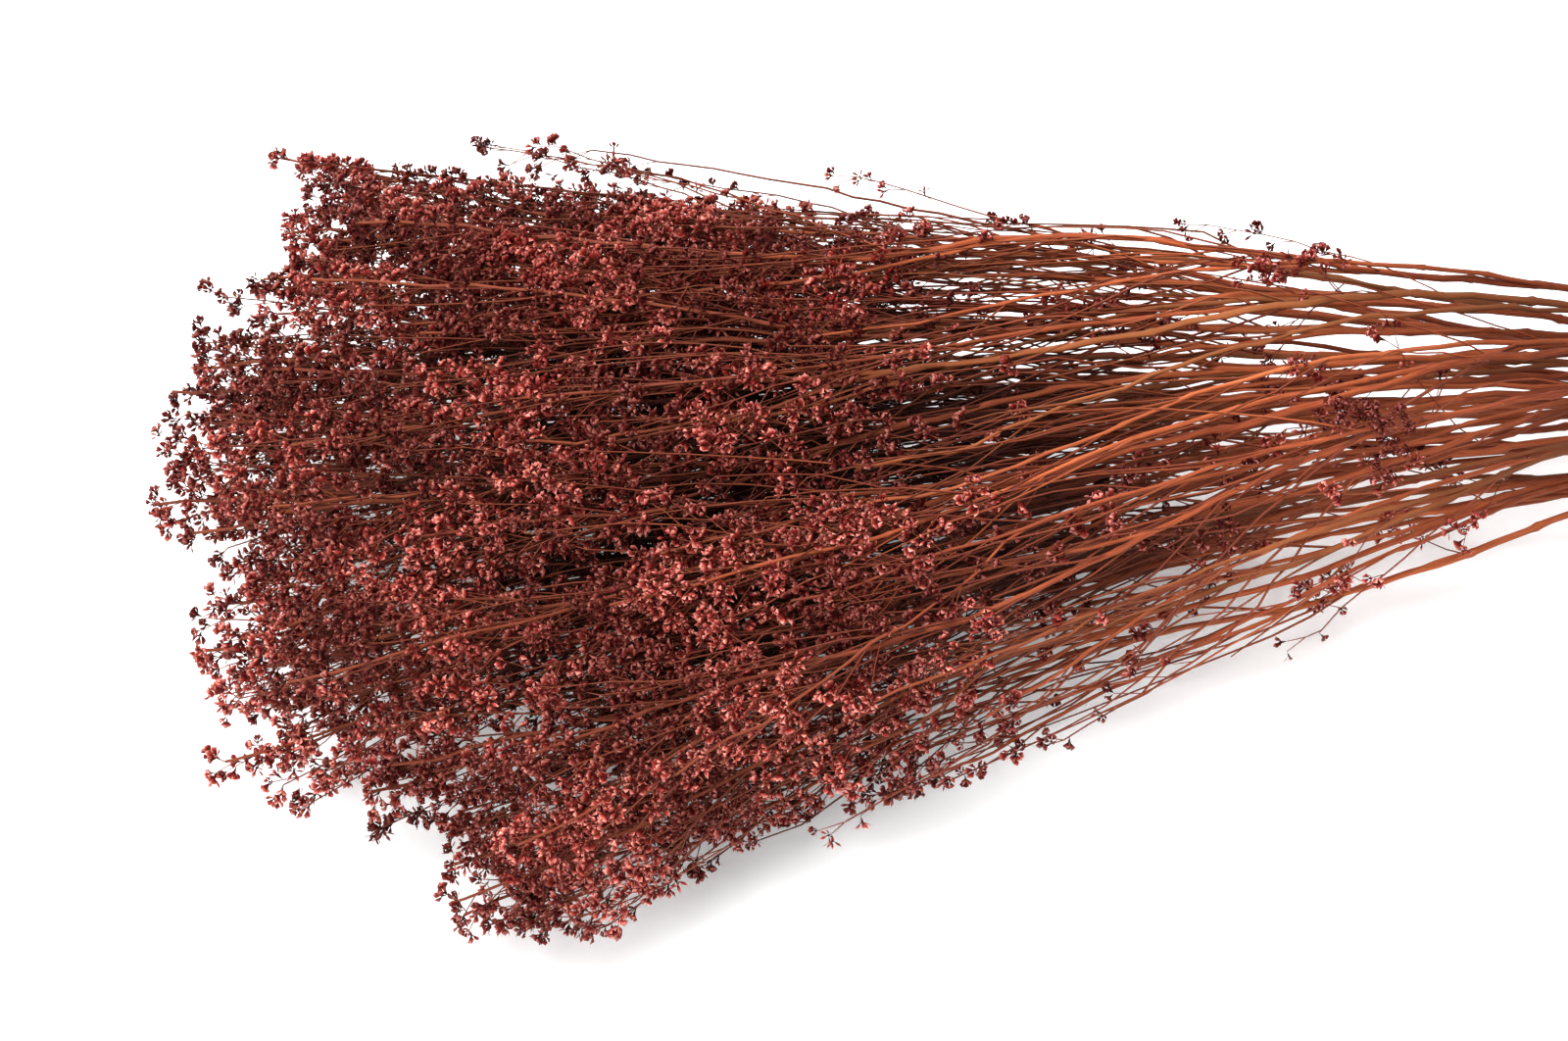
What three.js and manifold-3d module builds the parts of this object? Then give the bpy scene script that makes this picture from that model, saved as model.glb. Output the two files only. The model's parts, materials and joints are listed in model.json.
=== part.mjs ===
// A bunch of dried broom bloom lying on a table: cut sprays held by a wound twine tie.
// Each spray grew as one piece: a woody stem that forks into side branches, with small flower
// heads strung along their ends. Flower heads are drawn larger than life.
// Millimetres, +Z up. The bunch lies along X: cut ends at +X, flowering tips at -X.

import * as THREE from "three";
import { mergeVertices } from "three/addons/utils/BufferGeometryUtils.js";
import Module from "manifold-3d";

const wasm = await Module();
wasm.setup();

// The whole bunch. Distances along it count from the tie towards the tips
const SPRAYS = 30; // stems in the bunch
const REACH = 498; // longest spray, from the tie to the end of its stem
const CUT_BACK = 80; // from the tie to the cut ends
const CUT_UNEVEN = 12;
const END_UNEVEN = 0.05; // share of the reach
const NEAR_SHORT = 0.2; // share by which the sprays at the near side, underneath and on top are shorter
const LOW_SHORT = 0.1;
const TOP_SHORT = 0.05;
const FAR_SHORT = 0.07; // and those at the far side and high up
const FAR_UP = 0.3;
const FAR_FROM = 0.3;
const FAR_FULL = 0.5;
const FIRST_SEED = 41; // each spray's random draws start from this seed
const SEED_STEP = 7919;
const GOLDEN = Math.PI * (3 - Math.sqrt(5));

// Its outline: a round waist in the tie, which widens into a flat heap
const WAIST = 10.4; // radius of the circle of stem centres inside the tie
const PAST_TIE = 13; // it stays that narrow as far as this to either side of the tie's middle
const FAN_SLOPE = 0.19; // how fast half the bunch widens towards the tips
const FAN_BEND = 0.00025; // and how much faster with each millimetre
const LEAN = 11; // how far it slumps to the near side, the -Y side
const LEAN_WITHIN = 100;
const HEAP_RISE = 43; // how much taller half the bunch gets towards the tips
const HEAP_WITHIN = 200;
const ARCH = 6.5; // the stems rise off the table past the tie
const DROOP = 7.5; // and come down to it again under the flowers
const TAIL_SPREAD = 0.085; // how fast half the bunch widens towards the cut ends
const TAIL_RISE = 0.04;
const TAIL_DROOP = 1.2;
const TWIST_DEG = 34; // the stems spiral round each other by this much

// Stems and side branches
const STEM_RADIUS = 1.43; // to a corner: a square stem is as stout as a round one of 1.1 mm
const STEM_UNEVEN = 0.1;
const STEM_TAPER = 0.5; // share of its radius that a stem loses towards its end
const STEM_SIDES = 4;
const STEM_WAVE = 3.5; // how far a stem waves across, and up and down
const STEM_BOB = 1.5;
const STATION_STEP = 52;
const BRANCH_SIDES = 3;
const BRANCH_STOUT = 0.75; // a branch's share of the radius it grows from
const BRANCH_TAPER = 0.45;
const BRANCH_SWAY = 3;
const ROOTED = 5; // from the middle of the stem to where a branch has its full radius
const THINNEST = 0.6;
const MOST_SPREAD = 34; // widest reach of a side branch from its stem
const FLATTENED = 0.7; // share of its spread that a branch has up and down
// Each side branch leaves the stem (-1) or an earlier branch near a distance from the tie, and
// ends short of the stem's end by at least `short`, and by up to `more` beyond that
const FORKS = [
  { from: -1, at: 95, short: 100, more: 70 },
  { from: -1, at: 150, short: 55, more: 50 },
  { from: 1, at: 260, short: 20, more: 40 },
  { from: -1, at: 303, short: 0, more: 20 },
];
const FORK_WITHIN = 0.62; // share of the spray's length within which it forks
const LEAST_BARE = 21; // of a branch, between its root and its flowers

// Flower heads, strung along the ends of the stem and of each branch: open pointed cups
const HEAD_RADIUS = 4.3;
const HEAD_UNEVEN = 0.13;
const HEAD_STEP = 10.5; // from one head to the next
const HEAD_SWAY = 0.7; // they stand a little to one side and the other
const FLOOR_SWAY = 0.8; // share of that by which a cup's floor does
const HEAD_TURN = 0.2; // each ring of points is turned from the last by this many radians
const LIP = 0.85; // where a cup's lip and its floor lie, as shares of a step
const FLOOR = 0.42;
const NECK = 0.65; // radius of a cup's floor
const STEM_PAIRS = 2; // pairs of heads on a stem's end
const BRANCH_PAIRS = 3; // pairs of heads on a branch's end

// Tie: twine wound side by side
const TURNS = 5;
const TWINE = 2.0;
const TIE_BORE = 12.1;
const TIE_SEGMENTS = 16;
const GROOVE = 0.55; // how far out the groove between two turns lies, as a share of the twine
const PRESSED = 0.35; // how far the table presses the lowest twine and flower heads flat
const TIE_RADIUS = TIE_BORE + TWINE;

// Easing crossing sprays apart
const CLEAR = 0.4; // room kept between neighbours
const ROUNDS = 160;
const LAST_ROUNDS = 40; // in which nothing pulls a spray back to its own shape
const PULL_BACK = 0.06;
const HEAD_FIRM = 0.3; // from 0, free to give way, to 1, held fast
const STEM_FIRM = 0.6;
const HELD_UP_TO = 40; // the tie holds the stems fast up to here

// Random numbers that are the same on every run
function drawer(seed) {
  let state = seed | 0;
  return () => {
    state = (state + 0x6d2b79f5) | 0;
    let t = Math.imul(state ^ (state >>> 15), 1 | state);
    t = (t + Math.imul(t ^ (t >>> 7), 61 | t)) ^ t;
    return ((t ^ (t >>> 14)) >>> 0) / 4294967296;
  };
}

const smooth = (from, to, x) => THREE.MathUtils.smoothstep(x, from, to);
const fullTurn = 2 * Math.PI;

// How far the bunch has slumped at s, half its width and height there, and its underside
const slumped = (s) => LEAN * (1 - Math.exp(-Math.max(0, s - PAST_TIE) / LEAN_WITHIN));

function halfWidth(s) {
  if (s < 0) return WAIST + TAIL_SPREAD * Math.max(0, -s - PAST_TIE);
  const past = Math.max(0, s - PAST_TIE);
  return WAIST + FAN_SLOPE * past + FAN_BEND * past ** 2 + slumped(s);
}

function halfHeight(s) {
  if (s < 0) return WAIST + TAIL_RISE * Math.max(0, -s - PAST_TIE);
  return WAIST + HEAP_RISE * (1 - Math.exp(-Math.max(0, s - PAST_TIE) / HEAP_WITHIN));
}

const underside = (s) => TIE_RADIUS - PRESSED - WAIST
  + ARCH * smooth(15, 120, s) - DROOP * smooth(190, 340, s) - TAIL_DROOP * smooth(20, 90, -s);

// Where a stem's place in the round waist, (u, v) in a unit disc, lies at s
function turned(u, v, s) {
  const turn = THREE.MathUtils.degToRad(TWIST_DEG) * smooth(-20, 330, s);
  return [u * Math.cos(turn) - v * Math.sin(turn), u * Math.sin(turn) + v * Math.cos(turn)];
}

function placeAt(u, v, s) {
  const [across, up] = turned(u, v, s);
  const y = halfWidth(s) * across - slumped(s);
  return new THREE.Vector3(-s, y, underside(s) + halfHeight(s) * (1 + up));
}

// Where points stand along a chain that flowers from s on, in pairs of heads
function floweringStations(s, pairs) {
  return Array.from({ length: pairs }, (_, pair) => s + 2 * (pair + 1) * HEAD_STEP);
}

// One spray as a tree of points: a stem, and branches rooted in it and in one another
function growSpray(index) {
  const draw = drawer(FIRST_SEED + SEED_STEP * index);
  const ring = Math.sqrt((index + 0.5) / SPRAYS);
  const u = ring * Math.cos(index * GOLDEN);
  const v = ring * Math.sin(index * GOLDEN);
  const [across, up] = turned(u, v, REACH);
  const away = (1 - FAR_UP) * across + FAR_UP * up;
  const short = NEAR_SHORT * Math.min(0, across) ** 2 + LOW_SHORT * Math.min(0, up) ** 2
    + TOP_SHORT * Math.max(0, up) ** 2 + FAR_SHORT * smooth(FAR_FROM, FAR_FULL, away);
  const end = REACH * (1 - short) * (1 - END_UNEVEN * draw());
  const stout = STEM_RADIUS + STEM_UNEVEN * draw();

  const points = [];
  const addPoint = (at, s, radius, parent, chain, firmness, flowering) => {
    points.push({ at, rest: at.clone(), s, radius, parent, chain, firmness, flowering });
    return points.length - 1;
  };
  const nearest = (ids, s) => ids.reduce(
    (best, id) => (Math.abs(points[id].s - s) < Math.abs(points[best].s - s) ? id : best),
  );

  function growStem() {
    const flowersFrom = end - 2 * STEM_PAIRS * HEAD_STEP;
    const stations = [-CUT_BACK + CUT_UNEVEN * draw(), -PAST_TIE, PAST_TIE, 50, 95];
    while (stations.at(-1) + 1.4 * STATION_STEP < flowersFrom) {
      stations.push(stations.at(-1) + STATION_STEP);
    }
    stations.push(flowersFrom, ...floweringStations(flowersFrom, STEM_PAIRS));
    const wavePhase = draw() * fullTurn;
    const waveLength = 150 + 60 * draw();
    return stations.map((s) => {
      const p = placeAt(u, v, s);
      const grown = smooth(20, 150, s);
      const wave = (s / waveLength) * fullTurn;
      p.y += grown * STEM_WAVE * Math.sin(wave + wavePhase);
      p.z += grown * STEM_BOB * Math.cos(wave + wavePhase * 1.7);
      const radius = stout * (1 - STEM_TAPER * smooth(-60, end, s));
      const firmness = s < HELD_UP_TO ? 1 : STEM_FIRM;
      return addPoint(p, s, radius, points.length - 1, 0, firmness, s > flowersFrom);
    });
  }

  function growBranch(fork, chain, parentChain, azimuth) {
    const root = nearest(parentChain.filter((id) => !points[id].flowering), Math.min(fork.at, FORK_WITHIN * end));
    const from = points[root].s;
    const least = from + LEAST_BARE + 2 * BRANCH_PAIRS * HEAD_STEP;
    const to = Math.max(end - fork.short - fork.more * draw(), least);
    const angle = azimuth + (chain - 1) * GOLDEN;
    const spread = Math.min((0.2 + 0.08 * draw()) * (to - from), MOST_SPREAD);
    let u1 = u + (spread * Math.cos(angle)) / halfWidth(to);
    let v1 = v + (spread * FLATTENED * Math.sin(angle)) / halfHeight(to);
    const beyond = Math.max(1, Math.hypot(u1, v1));
    u1 /= beyond;
    v1 /= beyond;
    const sway = BRANCH_SWAY * draw();
    const swayWay = draw() * fullTurn;
    const shift = points[root].at.clone().sub(placeAt(u, v, from));
    const flowersFrom = to - 2 * BRANCH_PAIRS * HEAD_STEP;
    const halfWay = 0.5 * (from + flowersFrom);
    const ids = [root];
    for (const s of [halfWay, flowersFrom, ...floweringStations(flowersFrom, BRANCH_PAIRS)]) {
      const t = (s - from) / (to - from);
      const away = 1 - (1 - t) ** 1.7;
      const p = placeAt(u + (u1 - u) * away, v + (v1 - v) * away, s);
      const swing = sway * Math.sin(Math.PI * t);
      p.y += swing * Math.cos(swayWay) + shift.y * (1 - t);
      p.z += swing * 0.5 * Math.sin(swayWay) + shift.z * (1 - t);
      const radius = points[root].radius * BRANCH_STOUT * (1 - BRANCH_TAPER * t);
      ids.push(addPoint(p, s, Math.max(THINNEST, radius), ids.at(-1), chain, HEAD_FIRM, s > flowersFrom));
    }
    return ids;
  }

  const stem = growStem();
  const azimuth = draw() * fullTurn;
  const branches = [];
  for (const fork of FORKS) {
    const parentChain = fork.from < 0 ? stem : branches[fork.from];
    branches.push(growBranch(fork, branches.length + 1, parentChain, azimuth));
  }
  return { index, points, chains: [stem, ...branches] };
}

// The pieces of a spray that take room: each stretch between a point and its parent
function stretchesOf(sprays) {
  const stretches = [];
  for (const spray of sprays) {
    for (const point of spray.points) {
      if (point.parent < 0) continue;
      const parent = spray.points[point.parent];
      const radius = point.flowering ? HEAD_RADIUS + HEAD_SWAY : parent.radius;
      stretches.push({ a: parent, b: point, radius, spray: spray.index, chain: point.chain });
    }
  }
  return stretches;
}

function joined(one, two) {
  if (one.spray !== two.spray) return false;
  return one.chain === two.chain || one.a === two.a || one.a === two.b || one.b === two.a;
}

// Shares along two stretches where they come closest, and the way from the second to the first
function closest(p1, q1, p2, q2) {
  const d1 = q1.clone().sub(p1);
  const d2 = q2.clone().sub(p2);
  const r = p1.clone().sub(p2);
  const a = d1.dot(d1);
  const e = d2.dot(d2);
  const f = d2.dot(r);
  const c = d1.dot(r);
  const b = d1.dot(d2);
  const clamp = (x) => Math.min(1, Math.max(0, x));
  const denominator = a * e - b * b;
  let s = denominator > 1e-9 ? clamp((b * f - c * e) / denominator) : 0.5;
  let t = (b * s + f) / e;
  if (t < 0 || t > 1) {
    t = clamp(t);
    s = clamp((b * t - c) / a);
  }
  return [s, t, r.addScaledVector(d1, s).addScaledVector(d2, -t)];
}

function pushApart(one, two) {
  const need = one.radius + two.radius + CLEAR;
  if (Math.min(one.a.at.y, one.b.at.y) - Math.max(two.a.at.y, two.b.at.y) > need) return;
  if (Math.min(two.a.at.y, two.b.at.y) - Math.max(one.a.at.y, one.b.at.y) > need) return;
  const [s, t, apart] = closest(one.a.at, one.b.at, two.a.at, two.b.at);
  const distance = apart.length();
  if (distance >= need) return;
  if (distance < 1e-6) apart.set(0, 0, 1);
  apart.setX(0).normalize().multiplyScalar((need - distance) * 0.5);
  const shares = [[one.a, 1 - s, 1], [one.b, s, 1], [two.a, 1 - t, -1], [two.b, t, -1]];
  for (const [point, share, way] of shares) {
    point.at.addScaledVector(apart, (way * share * (1 - point.firmness)) / (1 - HEAD_FIRM));
  }
}

// Crossing sprays are eased apart in many small rounds, so that each is clear of its neighbours
function easeApart(sprays) {
  const stretches = stretchesOf(sprays);
  const widest = Math.max(...stretches.map((stretch) => stretch.radius));
  for (const stretch of stretches) {
    stretch.lowX = Math.min(stretch.a.at.x, stretch.b.at.x);
    stretch.highX = Math.max(stretch.a.at.x, stretch.b.at.x);
  }
  stretches.sort((one, two) => one.lowX - two.lowX);
  for (let round = 0; round < ROUNDS; round++) {
    stretches.forEach((one, m) => {
      for (let n = m + 1; n < stretches.length; n++) {
        const two = stretches[n];
        if (two.lowX > one.highX + 2 * widest) break;
        if (!joined(one, two)) pushApart(one, two);
      }
    });
    for (const spray of sprays) {
      for (const point of spray.points) {
        if (point.parent < 0 || point.firmness === 1) continue;
        const parent = spray.points[point.parent];
        const wanted = point.rest.clone().sub(parent.rest).add(parent.at);
        if (round < ROUNDS - LAST_ROUNDS) point.at.lerp(wanted, PULL_BACK);
        point.at.z = Math.max(point.at.z, point.flowering ? HEAD_RADIUS - PRESSED : point.radius);
      }
    }
  }
}

// The closed mesh that a three.js geometry makes, as a solid to join and cut
function solidOf(geometry) {
  const bare = new THREE.BufferGeometry();
  bare.setAttribute("position", geometry.getAttribute("position"));
  bare.setIndex(geometry.getIndex());
  const merged = mergeVertices(bare, 1e-4);
  const index = merged.index.array;
  const corners = merged.attributes.position.array;
  const faces = [];
  let volume = 0;
  const at = (k) => new THREE.Vector3().fromArray(corners, 3 * k);
  for (let i = 0; i < index.length; i += 3) {
    const [a, b, c] = [index[i], index[i + 1], index[i + 2]];
    if (a === b || b === c || a === c) continue;
    faces.push([a, b, c]);
    volume += at(a).dot(at(b).cross(at(c)));
  }
  const triVerts = new Uint32Array(faces.flatMap((face) => (volume < 0 ? face.reverse() : face)));
  return new wasm.Manifold(new wasm.Mesh({ numProp: 3, vertProperties: corners, triVerts }));
}

function geometryOf(solid) {
  const mesh = solid.getMesh();
  const geometry = new THREE.BufferGeometry();
  geometry.setAttribute("position", new THREE.BufferAttribute(mesh.vertProperties, 3));
  geometry.setIndex(new THREE.BufferAttribute(mesh.triVerts, 1));
  geometry.computeVertexNormals();
  return geometry;
}

// A turned shape bent along a chain of points, and pressed flat where it meets the table.
// A ring lies past a point, and to one side of it
function bentLathe(line, rings, sides, spin) {
  const profile = rings.map(({ radius }, k) => new THREE.Vector2(radius, k));
  const geometry = new THREE.LatheGeometry(profile, sides, spin);
  const position = geometry.getAttribute("position");
  const frames = rings.map(({ point, past, aside, asideWay }) => {
    const before = line[past > 0 ? point : Math.max(0, point - 1)];
    const after = line[Math.min(line.length - 1, point + 1)];
    const along = after.clone().sub(before).normalize();
    const sideways = new THREE.Vector3(0, 0, 1).cross(along).normalize();
    const upwards = along.clone().cross(sideways);
    const centre = line[point]
      .clone()
      .addScaledVector(along, past)
      .addScaledVector(sideways, aside * Math.cos(asideWay))
      .addScaledVector(upwards, aside * Math.sin(asideWay));
    return { centre, sideways, upwards };
  });
  for (let k = 0; k < position.count; k++) {
    const ring = Math.round(position.getY(k));
    const { centre, sideways, upwards } = frames[ring];
    const corner = new THREE.Vector2(position.getX(k), position.getZ(k));
    corner.rotateAround(new THREE.Vector2(), rings[ring].turn);
    const moved = centre
      .clone()
      .addScaledVector(sideways, corner.x)
      .addScaledVector(upwards, corner.y);
    position.setXYZ(k, moved.x, moved.y, Math.max(0, moved.z));
  }
  return geometry;
}

// A stem or branch that opens into one cup after another where it flowers. A branch starts as a
// point inside the stem
function chainSolid(points, sides, spin) {
  const line = points.map((point) => point.at);
  const bare = points.findIndex((point) => point.flowering) - 1;
  const rings = [];
  const addRing = (radius, point, past = 0, aside = 0, asideWay = 0) => {
    const turn = HEAD_TURN * Math.max(0, rings.length - bare - 2);
    rings.push({ radius, point, past, aside, asideWay, turn });
  };
  addRing(0, 0);
  for (let k = 0; k <= bare; k++) {
    const past = k === 0 && points[0].parent >= 0 ? ROOTED : 0;
    addRing(Math.min(points[k].radius, points[1].radius), k, past);
  }
  for (let k = bare; k < points.length - 1; k++) {
    const step = line[k].distanceTo(line[k + 1]) / 2;
    for (const half of [0, 1]) {
      const way = spin + (2 * k + half) * GOLDEN;
      const size = 0.92 + HEAD_UNEVEN * Math.sin(5 * way);
      addRing(HEAD_RADIUS * size, k, (half + LIP) * step, HEAD_SWAY, way);
      const last = half === 1 && k === points.length - 2;
      addRing(last ? 0 : NECK, k, (half + FLOOR) * step, FLOOR_SWAY * HEAD_SWAY, way);
    }
  }
  return solidOf(bentLathe(line, rings, sides, spin));
}

function spraySolid(spray) {
  const pieces = spray.chains.map((ids, k) => {
    const points = ids.map((id) => spray.points[id]);
    return chainSolid(points, k ? BRANCH_SIDES : STEM_SIDES, k * GOLDEN + spray.index);
  });
  return wasm.Manifold.union(pieces);
}

// The tie is a ring with one ridge for each turn of twine, flat where the table presses it
function tieSolid() {
  const half = (TURNS * TWINE) / 2;
  const groove = TIE_BORE + GROOVE * TWINE;
  const profile = [new THREE.Vector2(TIE_BORE, -half), new THREE.Vector2(groove, -half)];
  for (let turn = 0; turn < TURNS; turn++) {
    const start = -half + turn * TWINE;
    profile.push(new THREE.Vector2(TIE_RADIUS, start + 0.5 * TWINE));
    profile.push(new THREE.Vector2(groove, start + TWINE));
  }
  profile.push(new THREE.Vector2(TIE_BORE, half));
  profile.push(profile[0].clone());
  const geometry = new THREE.LatheGeometry(profile, TIE_SEGMENTS, Math.PI / TIE_SEGMENTS);
  geometry.rotateZ(Math.PI / 2);
  geometry.translate(0, 0, TIE_RADIUS - PRESSED);
  const tableTop = new THREE.BoxGeometry(100, 100, 40).translate(0, 0, -20);
  return solidOf(geometry).subtract(solidOf(tableTop));
}

const sprayMaterial = () => new THREE.MeshStandardMaterial({
  color: 0x8c4436, roughness: 0.75, metalness: 0, flatShading: true,
});
const twineMaterial = () => new THREE.MeshStandardMaterial({
  color: 0xa9855c, roughness: 0.9, metalness: 0, flatShading: true,
});

const bunch = new THREE.Group();
function addPiece(name, solid, material) {
  const mesh = new THREE.Mesh(geometryOf(solid), material);
  mesh.name = name;
  bunch.add(mesh);
}

const sprays = Array.from({ length: SPRAYS }, (_, index) => growSpray(index));
easeApart(sprays);
for (const spray of sprays) {
  const number = String(spray.index + 1).padStart(2, "0");
  addPiece(`spray_${number}`, spraySolid(spray), sprayMaterial());
}
addPiece("tie", tieSolid(), twineMaterial());

// The origin is on the table, under the middle of the bunch's box
const box = new THREE.Box3().setFromObject(bunch);
const middle = box.getCenter(new THREE.Vector3());
for (const mesh of bunch.children) mesh.geometry.translate(-middle.x, -middle.y, 0);

export default bunch;
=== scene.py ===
import json
import math
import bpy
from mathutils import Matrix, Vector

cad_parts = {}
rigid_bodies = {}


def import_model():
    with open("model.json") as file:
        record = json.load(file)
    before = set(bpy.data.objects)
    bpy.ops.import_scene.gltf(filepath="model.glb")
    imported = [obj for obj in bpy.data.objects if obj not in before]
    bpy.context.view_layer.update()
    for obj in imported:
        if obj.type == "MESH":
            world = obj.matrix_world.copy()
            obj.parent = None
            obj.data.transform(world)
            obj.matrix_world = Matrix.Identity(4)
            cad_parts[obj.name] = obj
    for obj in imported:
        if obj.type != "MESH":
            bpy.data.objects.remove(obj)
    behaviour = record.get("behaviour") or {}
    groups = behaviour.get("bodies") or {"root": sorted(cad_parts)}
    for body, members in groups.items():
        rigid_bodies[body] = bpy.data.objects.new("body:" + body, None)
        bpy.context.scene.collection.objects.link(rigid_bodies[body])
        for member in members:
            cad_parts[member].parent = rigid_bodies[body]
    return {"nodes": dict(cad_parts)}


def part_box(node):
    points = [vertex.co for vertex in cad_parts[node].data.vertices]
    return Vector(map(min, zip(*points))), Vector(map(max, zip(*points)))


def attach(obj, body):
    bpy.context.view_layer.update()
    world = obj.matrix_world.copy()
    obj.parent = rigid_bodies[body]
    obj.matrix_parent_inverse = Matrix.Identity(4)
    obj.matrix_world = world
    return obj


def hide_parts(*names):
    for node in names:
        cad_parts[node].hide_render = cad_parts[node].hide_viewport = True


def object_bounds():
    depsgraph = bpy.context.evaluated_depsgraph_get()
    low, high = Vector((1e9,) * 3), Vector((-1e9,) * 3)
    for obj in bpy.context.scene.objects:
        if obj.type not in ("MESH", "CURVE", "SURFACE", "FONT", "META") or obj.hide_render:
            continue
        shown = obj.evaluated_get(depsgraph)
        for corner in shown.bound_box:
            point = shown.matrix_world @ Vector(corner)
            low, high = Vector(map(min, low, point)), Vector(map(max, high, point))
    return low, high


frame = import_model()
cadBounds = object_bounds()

from types import SimpleNamespace

import bpy
import numpy as np
from mathutils import Vector

print("frame loaded:", len(frame["nodes"]), "solids")

# Small helpers
mm = 0.001
goldenAngle = math.pi * (3 - math.sqrt(5))
fullTurn = 2 * math.pi


def drawer(seed):
    state = seed & 0xFFFFFFFF

    def draw():
        nonlocal state
        state = (state + 0x6D2B79F5) & 0xFFFFFFFF
        t = ((state ^ (state >> 15)) * (1 | state)) & 0xFFFFFFFF
        t = ((t + (((t ^ (t >> 7)) * (61 | t)) & 0xFFFFFFFF)) & 0xFFFFFFFF) ^ t
        return ((t ^ (t >> 14)) & 0xFFFFFFFF) / 4294967296

    return draw


def smooth(start, end, x):
    t = min(1.0, max(0.0, (x - start) / (end - start)))
    return t * t * (3 - 2 * t)


def unit(v):
    return v / max(1e-12, np.linalg.norm(v))


def between(pair, share):
    return pair[0] + (pair[1] - pair[0]) * share


# How the bunch grows: the same rule and the same draws as the solids follow, in millimetres
bunch = {
    "sprays": 30, "reach": 498, "cutBack": 80, "cutUneven": 12, "endUneven": 0.05,
    # how much shorter the sprays are at the near side, underneath, on top and at the far side
    "nearShort": 0.2, "lowShort": 0.1, "topShort": 0.05, "farShort": 0.07,
    "farUp": 0.3, "farWithin": (0.3, 0.5), "firstSeed": 41, "seedStep": 7919,
    "waist": 10.4, "pastTie": 13, "fanSlope": 0.19, "fanBend": 0.00025, "lean": 11, "leanWithin": 100,
    "heapRise": 43, "heapWithin": 200, "arch": 6.5, "archWithin": (15, 120), "droop": 7.5,
    "droopWithin": (190, 340), "tailSpread": 0.085, "tailRise": 0.04, "tailDroop": 1.2,
    "tailDroopWithin": (20, 90), "twistDeg": 34, "twistWithin": (-20, 330),
}
stems = {
    "radius": 1.43, "uneven": 0.1, "taper": 0.5, "taperFrom": -60,
    "stationStep": 52, "firstStations": (50, 95), "lastStation": 1.4,
    "wave": 3.5, "bob": 1.5, "bobPhase": 1.7, "waveWithin": (20, 150), "waveLength": (150, 210),
    "branchStout": 0.75, "branchTaper": 0.45, "branchSway": 3, "branchSpread": (0.2, 0.28), "branchBend": 1.7,
    "thinnest": 0.6, "mostSpread": 34, "flattened": 0.7, "forkWithin": 0.62, "leastBare": 21,
    # the branch that each one grows from, or -1 for the stem, where it does,
    # and how far short of the spray's end it stops, at least and at random
    "forks": [(-1, 95, 100, 70), (-1, 150, 55, 50), (1, 260, 20, 40), (-1, 303, 0, 20)],
}
heads = {"radius": 4.3, "sway": 0.7, "step": 10.5, "stemPairs": 2, "branchPairs": 3}
tie = {"turns": 5, "twine": 2.0, "bore": 12.1, "pressed": 0.35}
easing = {
    "clear": 0.4, "rounds": 160, "lastRounds": 40, "pullBack": 0.06,
    "headFirm": 0.3, "stemFirm": 0.6, "heldUpTo": 40,
    # neighbours are sought in each of the first rounds and then less often, and how far off
    "searchAlways": 12, "thenEvery": 4, "reach": 6, "thenReach": 2,
}
tieRadius = tie["bore"] + tie["twine"]


def slumped(s):
    return bunch["lean"] * (1 - math.exp(-max(0, s - bunch["pastTie"]) / bunch["leanWithin"]))


def halfWidth(s):
    if s < 0:
        return bunch["waist"] + bunch["tailSpread"] * max(0, -s - bunch["pastTie"])
    past = max(0, s - bunch["pastTie"])
    return bunch["waist"] + bunch["fanSlope"] * past + bunch["fanBend"] * past ** 2 + slumped(s)


def halfHeight(s):
    if s < 0:
        return bunch["waist"] + bunch["tailRise"] * max(0, -s - bunch["pastTie"])
    past = max(0, s - bunch["pastTie"])
    return bunch["waist"] + bunch["heapRise"] * (1 - math.exp(-past / bunch["heapWithin"]))


def underside(s):
    low = tieRadius - tie["pressed"] - bunch["waist"]
    rise = bunch["arch"] * smooth(*bunch["archWithin"], s) - bunch["droop"] * smooth(*bunch["droopWithin"], s)
    return low + rise - bunch["tailDroop"] * smooth(*bunch["tailDroopWithin"], -s)


def turnedPlace(u, v, s):
    turn = math.radians(bunch["twistDeg"]) * smooth(*bunch["twistWithin"], s)
    return u * math.cos(turn) - v * math.sin(turn), u * math.sin(turn) + v * math.cos(turn)


def placeAt(u, v, s):
    across, up = turnedPlace(u, v, s)
    return [-s, halfWidth(s) * across - slumped(s), underside(s) + halfHeight(s) * (1 + up)]


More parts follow.
